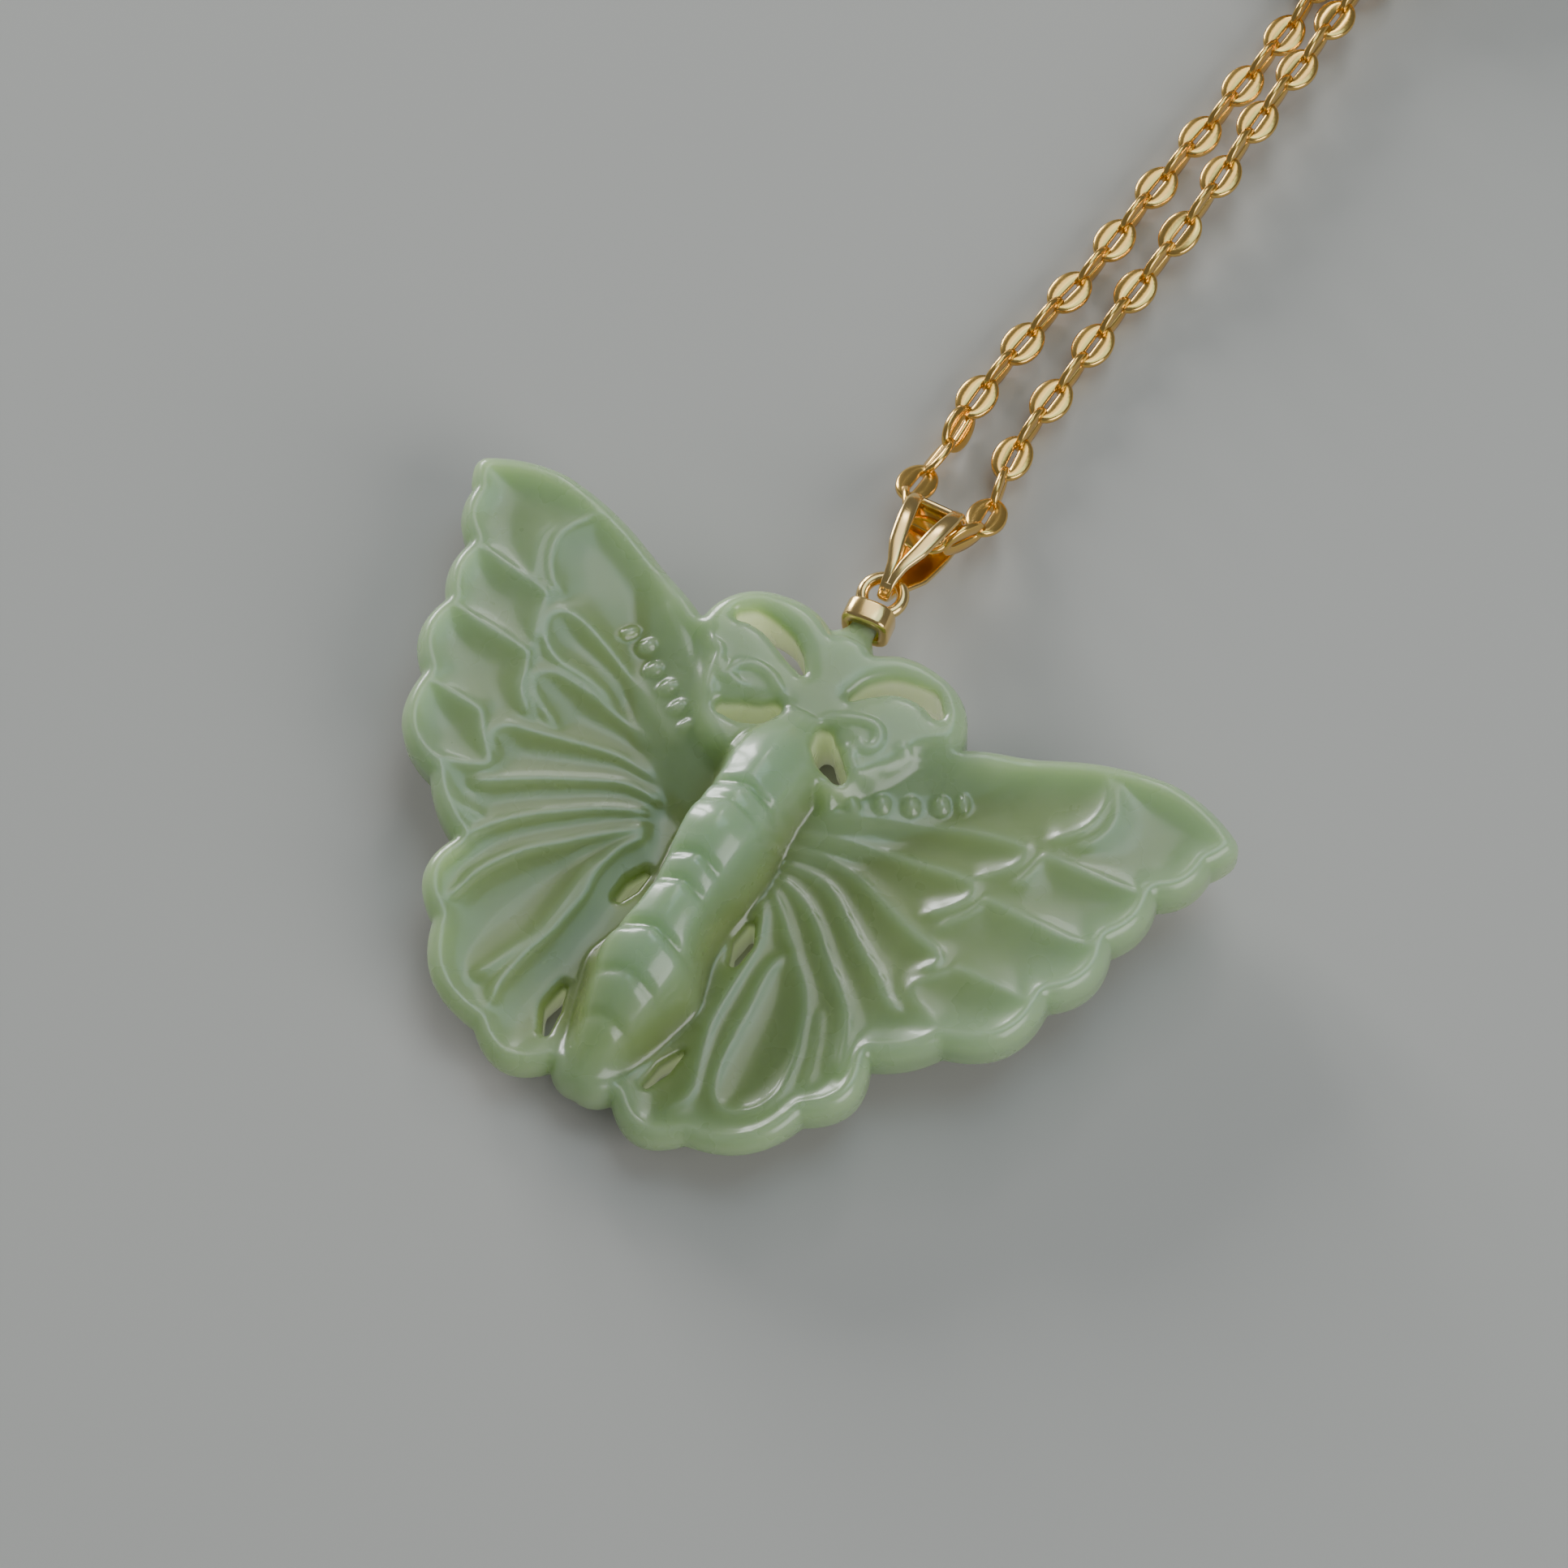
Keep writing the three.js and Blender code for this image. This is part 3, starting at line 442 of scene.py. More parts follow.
def body_height(far, y):
    """The body: across, a narrow level top, a facet sloping gently outwards and a steep flank that runs on
    down past the half width; along, the measured width and height with soft grooves at the joints."""
    rows = smooth_line(np.array(BODY)[::-1], 8)
    half_width = np.interp(y, rows[:, 0], rows[:, 1])
    back = np.interp(y, rows[:, 0], rows[:, 2])
    for place, depth in GROOVES:
        on_top = 1 - smooth(*GROOVE_FADE, far / half_width)
        back = back - depth * bump(np.abs(y - place + GROOVE_LEAN * far), GROOVE_HALF_WIDTH) * on_top
    facet, shoulder = FACET_SPAN[0] * half_width, FACET_SPAN[1] * half_width
    drop = FACET_SLOPE * (shoulder - facet)
    steep = (back - drop - WING_ROOT_TOP) / (half_width - shoulder)
    fall = soft_max(FACET_SLOPE * (far - facet), drop + steep * (far - shoulder), SHOULDER_BLEND)
    on_body = (y > rows[0, 0]) & (y < rows[-1, 0])
    return np.where(on_body, np.maximum(back - soft_max(fall, 0 * fall, TOP_BLEND), -2), -9)


def face_height(x, y, edge):
    """Height of the carved face: each wing, rising to its foot at the scrollwork, the scrollwork, then the
    body with a soft foot."""
    far = np.abs(x)
    z = {}
    for side, ridges, grains, foot in ((1, RIGHT_RIDGES, RIGHT_GRAINS, RIGHT_FOOT),
                                       (-1, LEFT_RIDGES, LEFT_GRAINS, LEFT_FOOT)):
        crests = [(weight, [crest_place(point, side) for point in points]) for weight, points in ridges]
        wing = wing_base(far) + wing_relief(far, y, edge, crests, grains)
        distance, _, way_side = near_line(far, y, smooth_line(foot, 4))
        wing = wing + LIFT * (1 - smooth(0, LIFT_REACH, distance))
        on_scroll = smooth(-STEP, STEP, way_side * distance)
        z[side] = wing + (scroll_height(x, y, edge) - wing) * on_scroll
    carved = np.where(x < 0, z[-1], z[1])
    return soft_max(carved, body_height(far, y), FOOT_BLEND)


def back_height(x, y):
    """Height of the plain back: flat under the body, rising to the wings, scrollwork, stem and tail."""
    far = np.abs(x)
    rise = smooth(BELLY_HALF_WIDTH, BELLY_HALF_WIDTH + BELLY_BLEND, far)
    wing = (wing_base(far) - WING_EDGE_THICKNESS) * rise
    scroll = smooth(*SCROLL_RISE, y) * SCROLL_BOTTOM * (1 - rise)
    z = np.maximum(np.maximum(wing, scroll), 0) + smooth(*TAIL_RISE, -y) * TAIL_BOTTOM
    return z + (STEM_BOTTOM - z) * on_stem(far, y)


class JadeField:
    """Negative inside the jade: the plan's heights and distances on a fine grid, read between its points."""

    def __init__(self):
        self.low = np.array(PLAN_LOW)
        self.shape = tuple(int(size / PLAN_STEP) + 1 for size in PLAN_SIZE)
        x = self.low[0] + PLAN_STEP * np.arange(self.shape[0])[:, None] + np.zeros(self.shape)
        y = self.low[1] + PLAN_STEP * np.arange(self.shape[1])[None, :] + np.zeros(self.shape)
        edge = outline_distance(x, y)
        face = polished(face_height(x, y, edge), FACE_POLISH)
        slope = np.hypot(*np.gradient(face, PLAN_STEP))
        hole = opening_distance(x, y)
        rim = np.maximum(edge, -hole)
        rounding = np.where(-edge < hole, RIM_ROUNDING, OPENING_ROUNDING)
        self.layers = np.stack((face, 1 / np.sqrt(1 + slope ** 2), back_height(x, y), rim, rounding))

    def plan(self, x, y):
        """The plan layers at any points, by bilinear interpolation."""
        u = np.clip((x - self.low[0]) / PLAN_STEP, 0, self.shape[0] - 1.001)
        v = np.clip((y - self.low[1]) / PLAN_STEP, 0, self.shape[1] - 1.001)
        i, j = u.astype(int), v.astype(int)
        u, v = u - i, v - j
        low = self.layers[:, i, j] * (1 - v) + self.layers[:, i, j + 1] * v
        high = self.layers[:, i + 1, j] * (1 - v) + self.layers[:, i + 1, j + 1] * v
        return low * (1 - u) + high * u

    def value(self, plan, z):
        """Soft intersection of below the face, above the back, and within the rim."""
        face, flatness, back, rim, rounding = plan
        return soft_max(soft_max((z - face) * flatness, back - z, FACE_ROUNDING), rim, rounding)


def skin_of(value, low, step):
    """The surface where a grid of values changes sign: one point in each mixed cell, at the mean of its
    edge crossings, and one four-sided face around each grid edge that crosses."""
    inside = value < 0
    corner = np.array([(i, j, k) for i in (0, 1) for j in (0, 1) for k in (0, 1)])
    size = np.array(value.shape) - 1

    def at(grid, c):
        return grid[c[0]:c[0] + size[0], c[1]:c[1] + size[1], c[2]:c[2] + size[2]]

    count = sum(at(inside, c).astype(np.int8) for c in corner)
    cells = np.argwhere((count > 0) & (count < 8))
    index = np.full(size, -1)
    index[tuple(cells.T)] = np.arange(len(cells))
    total = np.zeros((len(cells), 3))
    crossings = np.zeros((len(cells), 1))
    for a in corner:
        for axis in range(3):
            if a[axis] == 0:
                b = a.copy()
                b[axis] = 1
                va = value[tuple((cells + a).T)]
                vb = value[tuple((cells + b).T)]
                cut = (va < 0) != (vb < 0)
                t = np.where(cut, va / np.where(cut, va - vb, 1), 0)[:, None]
                total += np.where(cut[:, None], a + t * (b - a), 0)
                crossings += cut[:, None]
    points = low + (cells + total / crossings) * step
    faces = []
    for axis in range(3):
        one, two = (axis + 1) % 3, (axis + 2) % 3
        first = np.take(inside, range(0, size[axis]), axis)
        second = np.take(inside, range(1, size[axis] + 1), axis)
        edges = np.argwhere(first != second)
        leaving = first[tuple(edges.T)]
        ring = []
        for back_one, back_two in ((1, 1), (0, 1), (0, 0), (1, 0)):
            cell = edges.copy()
            cell[:, one] -= back_one
            cell[:, two] -= back_two
            ring.append(index[tuple(cell.T)])
        ring = np.stack(ring, 1)
        faces.append(np.where(leaving[:, None], ring, ring[:, ::-1]))
    return points, np.vstack(faces)


def new_mesh(name, points, faces):
    """A mesh object from points in millimetres and faces of one size, at the origin, shaded smooth."""
    mesh = bpy.data.meshes.new(name)
    points, faces = np.asarray(points, float) * MM, np.asarray(faces)
    sides = faces.shape[1]
    mesh.vertices.add(len(points))
    mesh.vertices.foreach_set("co", points.ravel())
    mesh.loops.add(faces.size)
    mesh.loops.foreach_set("vertex_index", faces.ravel())
    mesh.polygons.add(len(faces))
    mesh.polygons.foreach_set("loop_start", np.arange(0, faces.size, sides))
    mesh.polygons.foreach_set("loop_total", np.full(len(faces), sides))
    mesh.polygons.foreach_set("use_smooth", np.full(len(faces), True))
    mesh.update(calc_edges=True)
    mesh.validate()
    piece = bpy.data.objects.new(name, mesh)
    bpy.context.scene.collection.objects.link(piece)
    return piece


def jade_surface(jade):
    """The jade's skin, found on a grid of cells and then moved onto the field's own zero surface."""
    low = np.array(CELLS_LOW)
    step = np.array(CELL)
    counts = np.ceil(np.array(CELLS_SIZE) / step).astype(int) + 1
    x = low[0] + step[0] * np.arange(counts[0])[:, None] + np.zeros(counts[:2])
    y = low[1] + step[1] * np.arange(counts[1])[None, :] + np.zeros(counts[:2])
    plan = jade.plan(x, y)[:, :, :, None]
    z = low[2] + step[2] * np.arange(counts[2])[None, None, :]
    points, faces = skin_of(jade.value(plan, z), low, step)
    reach = SETTLE_REACH
    for _ in range(SETTLE_PASSES):
        px, py, pz = points.T
        plan = jade.plan(px, py)
        value = jade.value(plan, pz)
        gradient = np.stack((
            jade.value(jade.plan(px + reach, py), pz) - jade.value(jade.plan(px - reach, py), pz),
            jade.value(jade.plan(px, py + reach), pz) - jade.value(jade.plan(px, py - reach), pz),
            jade.value(plan, pz + reach) - jade.value(plan, pz - reach),
        ), 1) / (2 * reach)
        length = np.maximum((gradient ** 2).sum(1), 0.25)
        step_back = np.clip(value / length, -SETTLE_LIMIT, SETTLE_LIMIT)[:, None] * gradient
        points = points - SETTLE_SHARE * step_back
    return points, faces


# How strongly painted sheen is laid on the rims, crests and scrollwork: a paler colour standing in for
# highlights and for light shining back through the thin rims
RIM_PAINTED_SHEEN = 0.6
CREST_PAINTED_SHEEN = 0.4
SCROLL_PAINTED_SHEEN = 0.12


def jade_tints(jade, points):
    """Where each point gets painted sheen, on the crests, towards the rim and on the scrollwork, and how far
    it lies down the wall of an opening, which gets a paler colour and a painted glow for the light that
    comes through."""
    x, y, z = points.T
    far = np.abs(x)
    face, flatness = jade.plan(x, y)[:2]
    edge, hole = outline_distance(x, y), opening_distance(x, y)
    scroll = smooth(3.6, 6.2, y) * (1 - smooth(4.2, 5.8, far))
    crest = smooth(-0.3, 1.2, (z - wing_base(far)) / RIDGE_HEIGHT) * smooth(1.6, 2.6, far)
    # Painted sheen: paler towards the rim, on the scrollwork and on the crests
    pale = np.maximum(RIM_PAINTED_SHEEN * (1 - smooth(0.2, 2.2, -edge)), SCROLL_PAINTED_SHEEN * scroll)
    pale = np.maximum(pale, CREST_PAINTED_SHEEN * crest)
    # Painted light on the walls of the openings: a paler colour and a glow for light coming through
    wall = (1 - smooth(0.1, 0.4, hole)) * smooth(0.2, 0.8, face - z)
    return pale, wall


field = JadeField()
points, faces = jade_surface(field)
jade = new_mesh("jade_carving", points, faces)
for name, values in zip(("pale", "wall"), jade_tints(field, points)):
    jade.data.attributes.new(name, "FLOAT", "POINT").data.foreach_set("value", values)
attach(jade, "root")
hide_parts("jade_butterfly")


class Mask:
    """One value in a material's nodes. Arithmetic on it adds Math nodes."""

    def __init__(self, finish, socket):
        self.finish = finish
        self.socket = socket

    def math(self, operation, *values):
        return self.finish.mask("ShaderNodeMath", {"operation": operation}, dict(enumerate(values)))

    def __add__(self, other):
        return self.math("ADD", self, other)

    def __sub__(self, other):
        return self.math("SUBTRACT", self, other)

    def __mul__(self, other):
        return self.math("MULTIPLY", self, other)

    def clamped(self):
        return self.math("MINIMUM", self.math("MAXIMUM", self, 0.0), 1.0)

    __radd__ = __add__


class Finish:
    """A material being made, with one method that adds a node and one that mixes colours."""

    def __init__(self, name):
        self.material = bpy.data.materials.new(name)
        self.material.use_nodes = True
        self.tree = self.material.node_tree
        self.shader = self.tree.nodes["Principled BSDF"]

    def node(self, kind, settings=None, inputs=None, output=0):
        """Adds a node, sets it up, then its inputs by name or number, and gives one output socket."""
        node = self.tree.nodes.new(kind)
        for key, value in (settings or {}).items():
            if key == "stops":
                ramp = node.color_ramp
                for place, colour in value[2:]:
                    ramp.elements.new(place)
                for element, (place, colour) in zip(ramp.elements, sorted(value)):
                    element.position = place
                    element.color = (*colour, 1)
            else:
                setattr(node, key, value)
        for key, value in (inputs or {}).items():
            self.put(node.inputs[key], value)
        return node.outputs[output]

    def put(self, socket, value):
        """Links a socket or a mask, or sets a plain value."""
        if isinstance(value, Mask):
            value = value.socket
        if isinstance(value, bpy.types.NodeSocket):
            self.tree.links.new(value, socket)
        else:
            socket.default_value = value

    def mask(self, kind, settings=None, inputs=None, output=0):
        return Mask(self, self.node(kind, settings, inputs, output))

    def place(self):
        return self.node("ShaderNodeTexCoord", output=3)

    def attribute(self, name):
        return self.mask("ShaderNodeAttribute", {"attribute_name": name}, output=2)

    def height(self, low, high):
        """0 at the lower height in millimetres and 1 at the higher, level beyond."""
        z = self.mask("ShaderNodeSeparateXYZ", {}, {"Vector": self.place()}, 2)
        return (z * (1 / (MM * (high - low))) - low / (high - low)).clamped()

    def noise(self, scale, detail):
        """Noise with scale periods to a metre, about 0 to 1."""
        return self.mask(
            "ShaderNodeTexNoise", {}, {"Vector": self.place(), "Scale": scale, "Detail": detail})

    def ramp(self, value, *stops):
        return self.node("ShaderNodeValToRGB", {"stops": stops}, {"Fac": value})

    def mix(self, factor, first, second):
        """One colour at factor 0 and the other at 1, each a socket or three plain values."""
        first, second = ((*colour, 1) if isinstance(colour, tuple) else colour for colour in (first, second))
        return self.node("ShaderNodeMix", {"data_type": "RGBA"}, {0: factor, 6: first, 7: second}, 2)

    def set(self, **values):
        """Sets sockets of the shader; underscores stand for spaces."""
        for key, value in values.items():
            self.put(self.shader.inputs[key.replace("_", " ")], value)


# The jade's colours where it is low and thin, in between and high and thick, then the painted sheen laid
# on crests, rims and scrollwork as a paler colour for highlights and light shining back through the thin
# rims, and the paler colour and painted glow on the walls of its openings, for light coming through the
# stone
LOW_JADE = (0.24, 0.31, 0.095)
MIDDLE_JADE = (0.26, 0.345, 0.13)
HIGH_JADE = (0.28, 0.40, 0.25)
PAINTED_SHEEN_JADE = (0.33, 0.46, 0.29)
# Painted light: a paler wall colour and a glow standing in for the light that comes through the stone into
# the walls of the openings
PAINTED_LIGHT_WALL_JADE = (0.68, 0.75, 0.54)
PAINTED_GLOW_WALL = (0.085, 0.095, 0.06)


def jade_finish():
    """Waxy translucent nephrite: olive where it is cut low and thin, bluish grey-green where it is thick,
    paler towards its rims, on its crests and on the scrollwork as painted sheen, with a paler colour and a
    painted glow on the walls of the openings standing in for light that comes through, with faint clouds and
    the soft waves that polishing leaves."""
    finish = Finish("polished_jade")
    low = finish.height(1.6, 5.0)
    cloud = finish.noise(140, 3) - 0.5
    deep = finish.ramp(low + cloud * 0.3, (0.0, LOW_JADE), (1.0, HIGH_JADE), (0.4, MIDDLE_JADE))
    # Painted sheen: the paler colour on crests, rims and scrollwork
    rim = finish.mix((finish.attribute("pale") + cloud * 0.3).clamped(), deep, PAINTED_SHEEN_JADE)
    # Painted light on the walls of the openings: a paler colour
    colour = finish.mix(finish.attribute("wall"), rim, PAINTED_LIGHT_WALL_JADE)
    # Painted glow on the walls of the openings, which are no lamp
    painted_glow = finish.mix(finish.attribute("wall"), (0, 0, 0), PAINTED_GLOW_WALL)
    waves = finish.noise(900, 2)
    normal = finish.node("ShaderNodeBump", {}, {"Strength": 0.2, "Distance": 0.02 * MM, "Height": waves})
    finish.set(
        Base_Color=colour, Emission_Color=painted_glow, Emission_Strength=1.0,
        Roughness=0.22 + finish.noise(500, 3) * 0.12, Normal=normal, IOR=1.6,
        Subsurface_Weight=1.0, Subsurface_Radius=(1.0, 1.1, 0.7), Subsurface_Scale=4 * MM,
        Coat_Weight=0.3, Coat_Roughness=0.08)
    return finish.material


jade.data.materials.append(jade_finish())

# The cap
# A small rounded band of gold-plated brass with a blind socket, glued over the jade's stem, and a stout
# wire eye soldered flat behind it.
CAP_SIZE = (1.8, 0.85, 1.9)
CAP_CENTRE = (-0.2, 10.52, 2.8)
CAP_TURN = 0.12
CAP_ROUNDING = 0.13
# The socket's half width, half height and depth
SOCKET = (0.57, 0.48, 0.5)
EYE_CENTRE = (-0.28, 11.65, 2.8)
EYE_RADIUS = 0.72
EYE_WIRE = 0.23


def rounded(half_width, half_depth, power, count):
    """Points round a rounded rectangle: a circle's coordinates raised to 2 / power."""
    angle = 2 * np.pi * (np.arange(count) + 0.5) / count
    across, up = np.cos(angle), np.sin(angle)
    return np.stack((
        np.sign(across) * np.abs(across) ** (2 / power) * half_width,
        np.sign(up) * np.abs(up) ** (2 / power) * half_depth), 1)


def loft(rings, closed=False):
    """Points and four-sided faces through rings of points, which run anticlockwise about the way from ring
    to ring. The end rings are laddered shut, or joined to each other if closed."""
    rows, count = rings.shape[:2]
    index = np.arange(rows * count).reshape(rows, count)
    if closed:
        index = np.vstack((index, index[:1]))
    near, far = index[:-1], index[1:]
    faces = np.stack((near, np.roll(near, -1, 1), np.roll(far, -1, 1), far), -1).reshape(-1, 4)
    if not closed:
        i = np.arange(count // 2 - 1)
        ladder = np.stack((i, count - 1 - i, count - 2 - i, i + 1), 1)
        faces = np.vstack((faces, index[0][ladder], index[-1][ladder[:, ::-1]]))
    return rings.reshape(-1, 3), faces


def joined(*parts):
    """Several point and face sets as one."""
    starts = np.cumsum([0] + [len(points) for points, _ in parts[:-1]])
    faces = [part[1] + start for part, start in zip(parts, starts)]
    return np.vstack([part[0] for part in parts]), np.vstack(faces)


def turned(points, angle, centre):
    """Points around the origin turned about Z and moved to a centre."""
    c, s = np.cos(angle), np.sin(angle)
    return points @ np.array(((c, s, 0), (-s, c, 0), (0, 0, 1))) + np.array(centre)


def cap_band():
    """The band from back to front with rounded rims, then in through its socket."""
    width, length, depth = np.array(CAP_SIZE) / 2
    round_off = np.linspace(0, np.pi / 2, 5)
    sides = [
        (CAP_ROUNDING * (1 - np.sin(a)), length - CAP_ROUNDING * (1 - np.cos(a))) for a in round_off]
    steps = [(0.35, length)] + sides + [(inset, -y) for inset, y in sides[::-1]]
    rings = []
    for inset, y in steps:
        across = rounded(width - inset, depth - inset, 3.2, 40)
        rings.append(np.insert(across, 1, y, axis=1))
    for y in (-length, -length + 0.03, -length + SOCKET[2]):
        across = rounded(SOCKET[0], SOCKET[1], 4, 40)
        rings.append(np.insert(across, 1, y, axis=1))
    points, faces = loft(np.array(rings))
    return turned(points, CAP_TURN, CAP_CENTRE), faces


def round_wire(centre, radius, wire, around, sides):
    """A ring of round wire, flat at a centre."""
    angle = 2 * np.pi * np.arange(around)[:, None] / around
    turn = 2 * np.pi * np.arange(sides)[None, :] / sides
    out = radius + wire * np.cos(turn)
    ring = np.stack((out * np.cos(angle), out * np.sin(angle), -wire * np.sin(turn) + 0 * angle), -1)
    points, faces = loft(ring, closed=True)
    return points + np.array(centre), faces


def gold_finish(name, colour, roughness):
    """Polished plate: a mirror-like metal with faint rubbed patches and fine scratches in its shine."""
    finish = Finish(name)
    rubbed = finish.noise(700, 3)
    warm = tuple(0.86 * c for c in colour)
    base = finish.mix(rubbed, warm, colour)
    fine = finish.noise(6000, 2)
    bump_node = finish.node(
        "ShaderNodeBump", {}, {"Strength": 0.12, "Distance": 0.01 * MM, "Height": rubbed + fine * 0.3})
    finish.set(Base_Color=base, Metallic=1.0, Roughness=roughness + rubbed * 0.1, Normal=bump_node)
    return finish.material


plate = gold_finish("gold_plate", (1.0, 0.70, 0.28), 0.14)
cap = new_mesh("cap", *joined(cap_band(), round_wire(EYE_CENTRE, EYE_RADIUS, EYE_WIRE, 40, 14)))
cap.data.materials.append(plate)
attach(cap, "root")
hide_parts("bail_cap")

# The bail
# A strip of gold-plated brass bent into a loop through the eye. Its front is pierced into a V of two
# plump legs and its plain back lies underneath.
BAIL_FRONT = ((11.6, 2.85), (12.1, 3.3), (13.3, 3.45), (14.7, 3.3), (15.7, 2.8), (16.0, 2.0))
BAIL_BACK = (
    (15.75, 2.75), (16.0, 1.8), (15.5, 1.05), (14.6, 1.0), (13.3, 1.5), (12.1, 2.3), (11.6, 2.85),
    (12.0, 3.3),
)
# Sizes along the strips, read by place along Y
LEG_OFFSET = (
    (11.6, 0.1), (12.2, 0.12), (12.75, 0.2), (13.5, 0.45), (14.5, 0.64), (15.4, 0.79), (16.1, 0.8),
)
LEG_HALF_WIDTH = (
    (11.6, 0.13), (12.2, 0.16), (12.75, 0.2), (13.5, 0.28), (14.6, 0.3), (15.5, 0.27), (16.05, 0.2),
)
BACK_HALF_WIDTH = ((11.5, 0.2), (12.2, 0.24), (13.5, 0.76), (15.3, 1.0), (16.1, 0.94))
FRONT_HALF_THICKNESS = 0.15
BACK_HALF_THICKNESS = 0.12
BAIL_HINGE = (-0.25, 12.2, 0)
BAIL_TURN = 0.045


def strip(side_points, offset, half_width, half_thickness, power):
    """A bent strip: a rounded section swept along a line in the YZ plane, moved out in X by offset and as
    wide as half_width, both read by Y."""
    side = smooth_line(side_points, 8)
    y, z = side.T
    x = np.interp(y, *np.array(offset).T)
    way = np.stack((x, y, z), 1)
    along = np.gradient(way, axis=0)
    along /= np.linalg.norm(along, axis=1)[:, None]
    across = np.array((1.0, 0, 0)) - along * along[:, :1]
    across /= np.linalg.norm(across, axis=1)[:, None]
    over = np.cross(along, across)
    section = rounded(1, 1, power, 20)
    half = np.interp(y, *np.array(half_width).T)[:, None, None]
    rings = way[:, None] + across[:, None] * half * section[None, :, :1]
    rings = rings + over[:, None] * half_thickness * section[None, :, 1:]
    return loft(rings)


left_offset = tuple((y, -x) for y, x in LEG_OFFSET)
middle_offset = ((11, 0), (17, 0))
points, faces = joined(
    strip(BAIL_FRONT, LEG_OFFSET, LEG_HALF_WIDTH, FRONT_HALF_THICKNESS, 3.4),
    strip(BAIL_FRONT, left_offset, LEG_HALF_WIDTH, FRONT_HALF_THICKNESS, 3.4),
    strip(BAIL_BACK, middle_offset, BACK_HALF_WIDTH, BACK_HALF_THICKNESS, 3.5),
)
points = turned(points - np.array((0, BAIL_HINGE[1], 0)), BAIL_TURN, BAIL_HINGE)
bail = new_mesh("bail_loop", points, faces)
bail.data.materials.append(plate)
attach(bail, "root")
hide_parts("bail")

# The chain
# A fine flat cable chain of pressed oval links, gold plated. Its two runs lie on the table from the bail,
# the right one crossing over the left; it twists by a quarter turn just before it enters the bail.
LEFT_RUN = (
    (0.3, 43.9, 0.75), (0.3, 41.4, 0.75), (0.1, 39.3, 0.75), (-0.17, 36.6, 0.75), (-0.5, 33.9, 0.75),
    (-0.78, 31.2, 0.75), (-1.0, 28.4, 0.75), (-1.4, 26.0, 0.75), (-1.8, 23.0, 0.75), (-1.98, 21.3, 0.75),
    (-1.9, 19.9, 0.75), (-1.93, 18.6, 0.85), (-1.96, 17.3, 1.1), (-1.82, 16.05, 1.55),
)
BAIL_CROSSING = ((-1.15, 15.1, 1.9), (-0.25, 14.88, 2.05))
RIGHT_RUN = (
    (0.58, 15.25, 1.92), (0.94, 16.15, 1.6), (0.92, 17.2, 1.25), (0.62, 18.6, 0.9), (0.38, 20.0, 0.75),
    (0.4, 21.9, 0.75), (0.55, 24.2, 0.75), (0.68, 26.3, 0.75), (0.87, 28.4, 0.8), (1.12, 30.4, 1.1),
    (1.36, 32.6, 1.45), (1.38, 35.0, 1.45), (1.46, 37.6, 1.45), (1.65, 40.2, 1.4), (1.75, 42.9, 1.2),
    (1.85, 44.8, 1.0),
)
LINK_PITCH = 1.405
FIRST_LINK = 0.15
# The quarter turn is shared by a few links, and the links up to the taut one are pulled a little apart
TWIST_LINK = 16
TWIST_SHARE = 3
TAUT_LINK = 25
TAUT_GAIN = 0.09
LINK_OUTER = (0.98, 0.73)
LINK_SLOT = (0.62, 0.08)
LINK_THICKNESS = 0.28


def even_line(points, steps):
    """A centripetal Catmull-Rom line: each span's cubic, with slopes weighed by the roots of its chords."""
    p = np.array(points, float)
    p = np.vstack((2 * p[0] - p[1], p, 2 * p[-1] - p[-2]))
    t = np.linspace(0, 1, steps, endpoint=False)[:, None]
    spans = []
    for a, b, c, d in zip(p[:-3], p[1:-2], p[2:-1], p[3:]):
        before, here, after = (np.linalg.norm(v) ** 0.5 for v in (b - a, c - b, d - c))
        first = ((b - a) / before - (c - a) / (before + here) + (c - b) / here) * here
        last = ((c - b) / here - (d - b) / (here + after) + (d - c) / after) * here
        square, cube = 3 * (c - b) - 2 * first - last, 2 * (b - c) + first + last
        spans.append(b + first * t + square * t ** 2 + cube * t ** 3)
    return np.vstack(spans + [p[-2:-1]])


def lengths_along(way):
    """Length of the way up to each of its points."""
    return np.concatenate(([0], np.cumsum(np.linalg.norm(np.diff(way, axis=0), axis=1))))


def one_link(around, sides):
    """A link flat along X: rounded stock between an oval outside and a narrow slot."""
    angle = 2 * np.pi * (np.arange(around) + 0.5) / around
    outside = np.stack((np.cos(angle) * LINK_OUTER[0], np.sin(angle) * LINK_OUTER[1]), 1)
    inside = rounded(*LINK_SLOT, 4, around)
    section = rounded(1, 1, 3.6, sides)
    out = section[None, :, :1]
    flat = (outside + inside)[:, None] / 2 + (outside - inside)[:, None] / 2 * out
    z = np.broadcast_to(-section[None, :, 1:] * LINK_THICKNESS / 2, (around, sides, 1))
    return loft(np.concatenate((flat, z), 2), closed=True)


def links_along(way, places, rolls, link):
    """The link at places along a way, each rolled about the way from lying flat."""
    length = lengths_along(way)

    def at(place):
        return np.stack([np.interp(place, length, way[:, axis]) for axis in range(3)], 1)

    centre = at(places)
    along = at(places + 0.1) - at(places - 0.1)
    along /= np.linalg.norm(along, axis=1)[:, None]
    side = np.cross((0, 0, 1), along)
    side /= np.linalg.norm(side, axis=1)[:, None]
    normal = np.cross(along, side)
    c, s = np.cos(rolls)[:, None], np.sin(rolls)[:, None]
    frames = np.stack((along, side * c + normal * s, normal * c - side * s), 1)
    points, faces = link
    placed = centre[:, None] + np.einsum("pk,nkd->npd", points, frames)
    index = np.arange(len(places))[:, None, None] * len(points)
    return placed.reshape(-1, 3), (faces[None] + index).reshape(-1, 4)


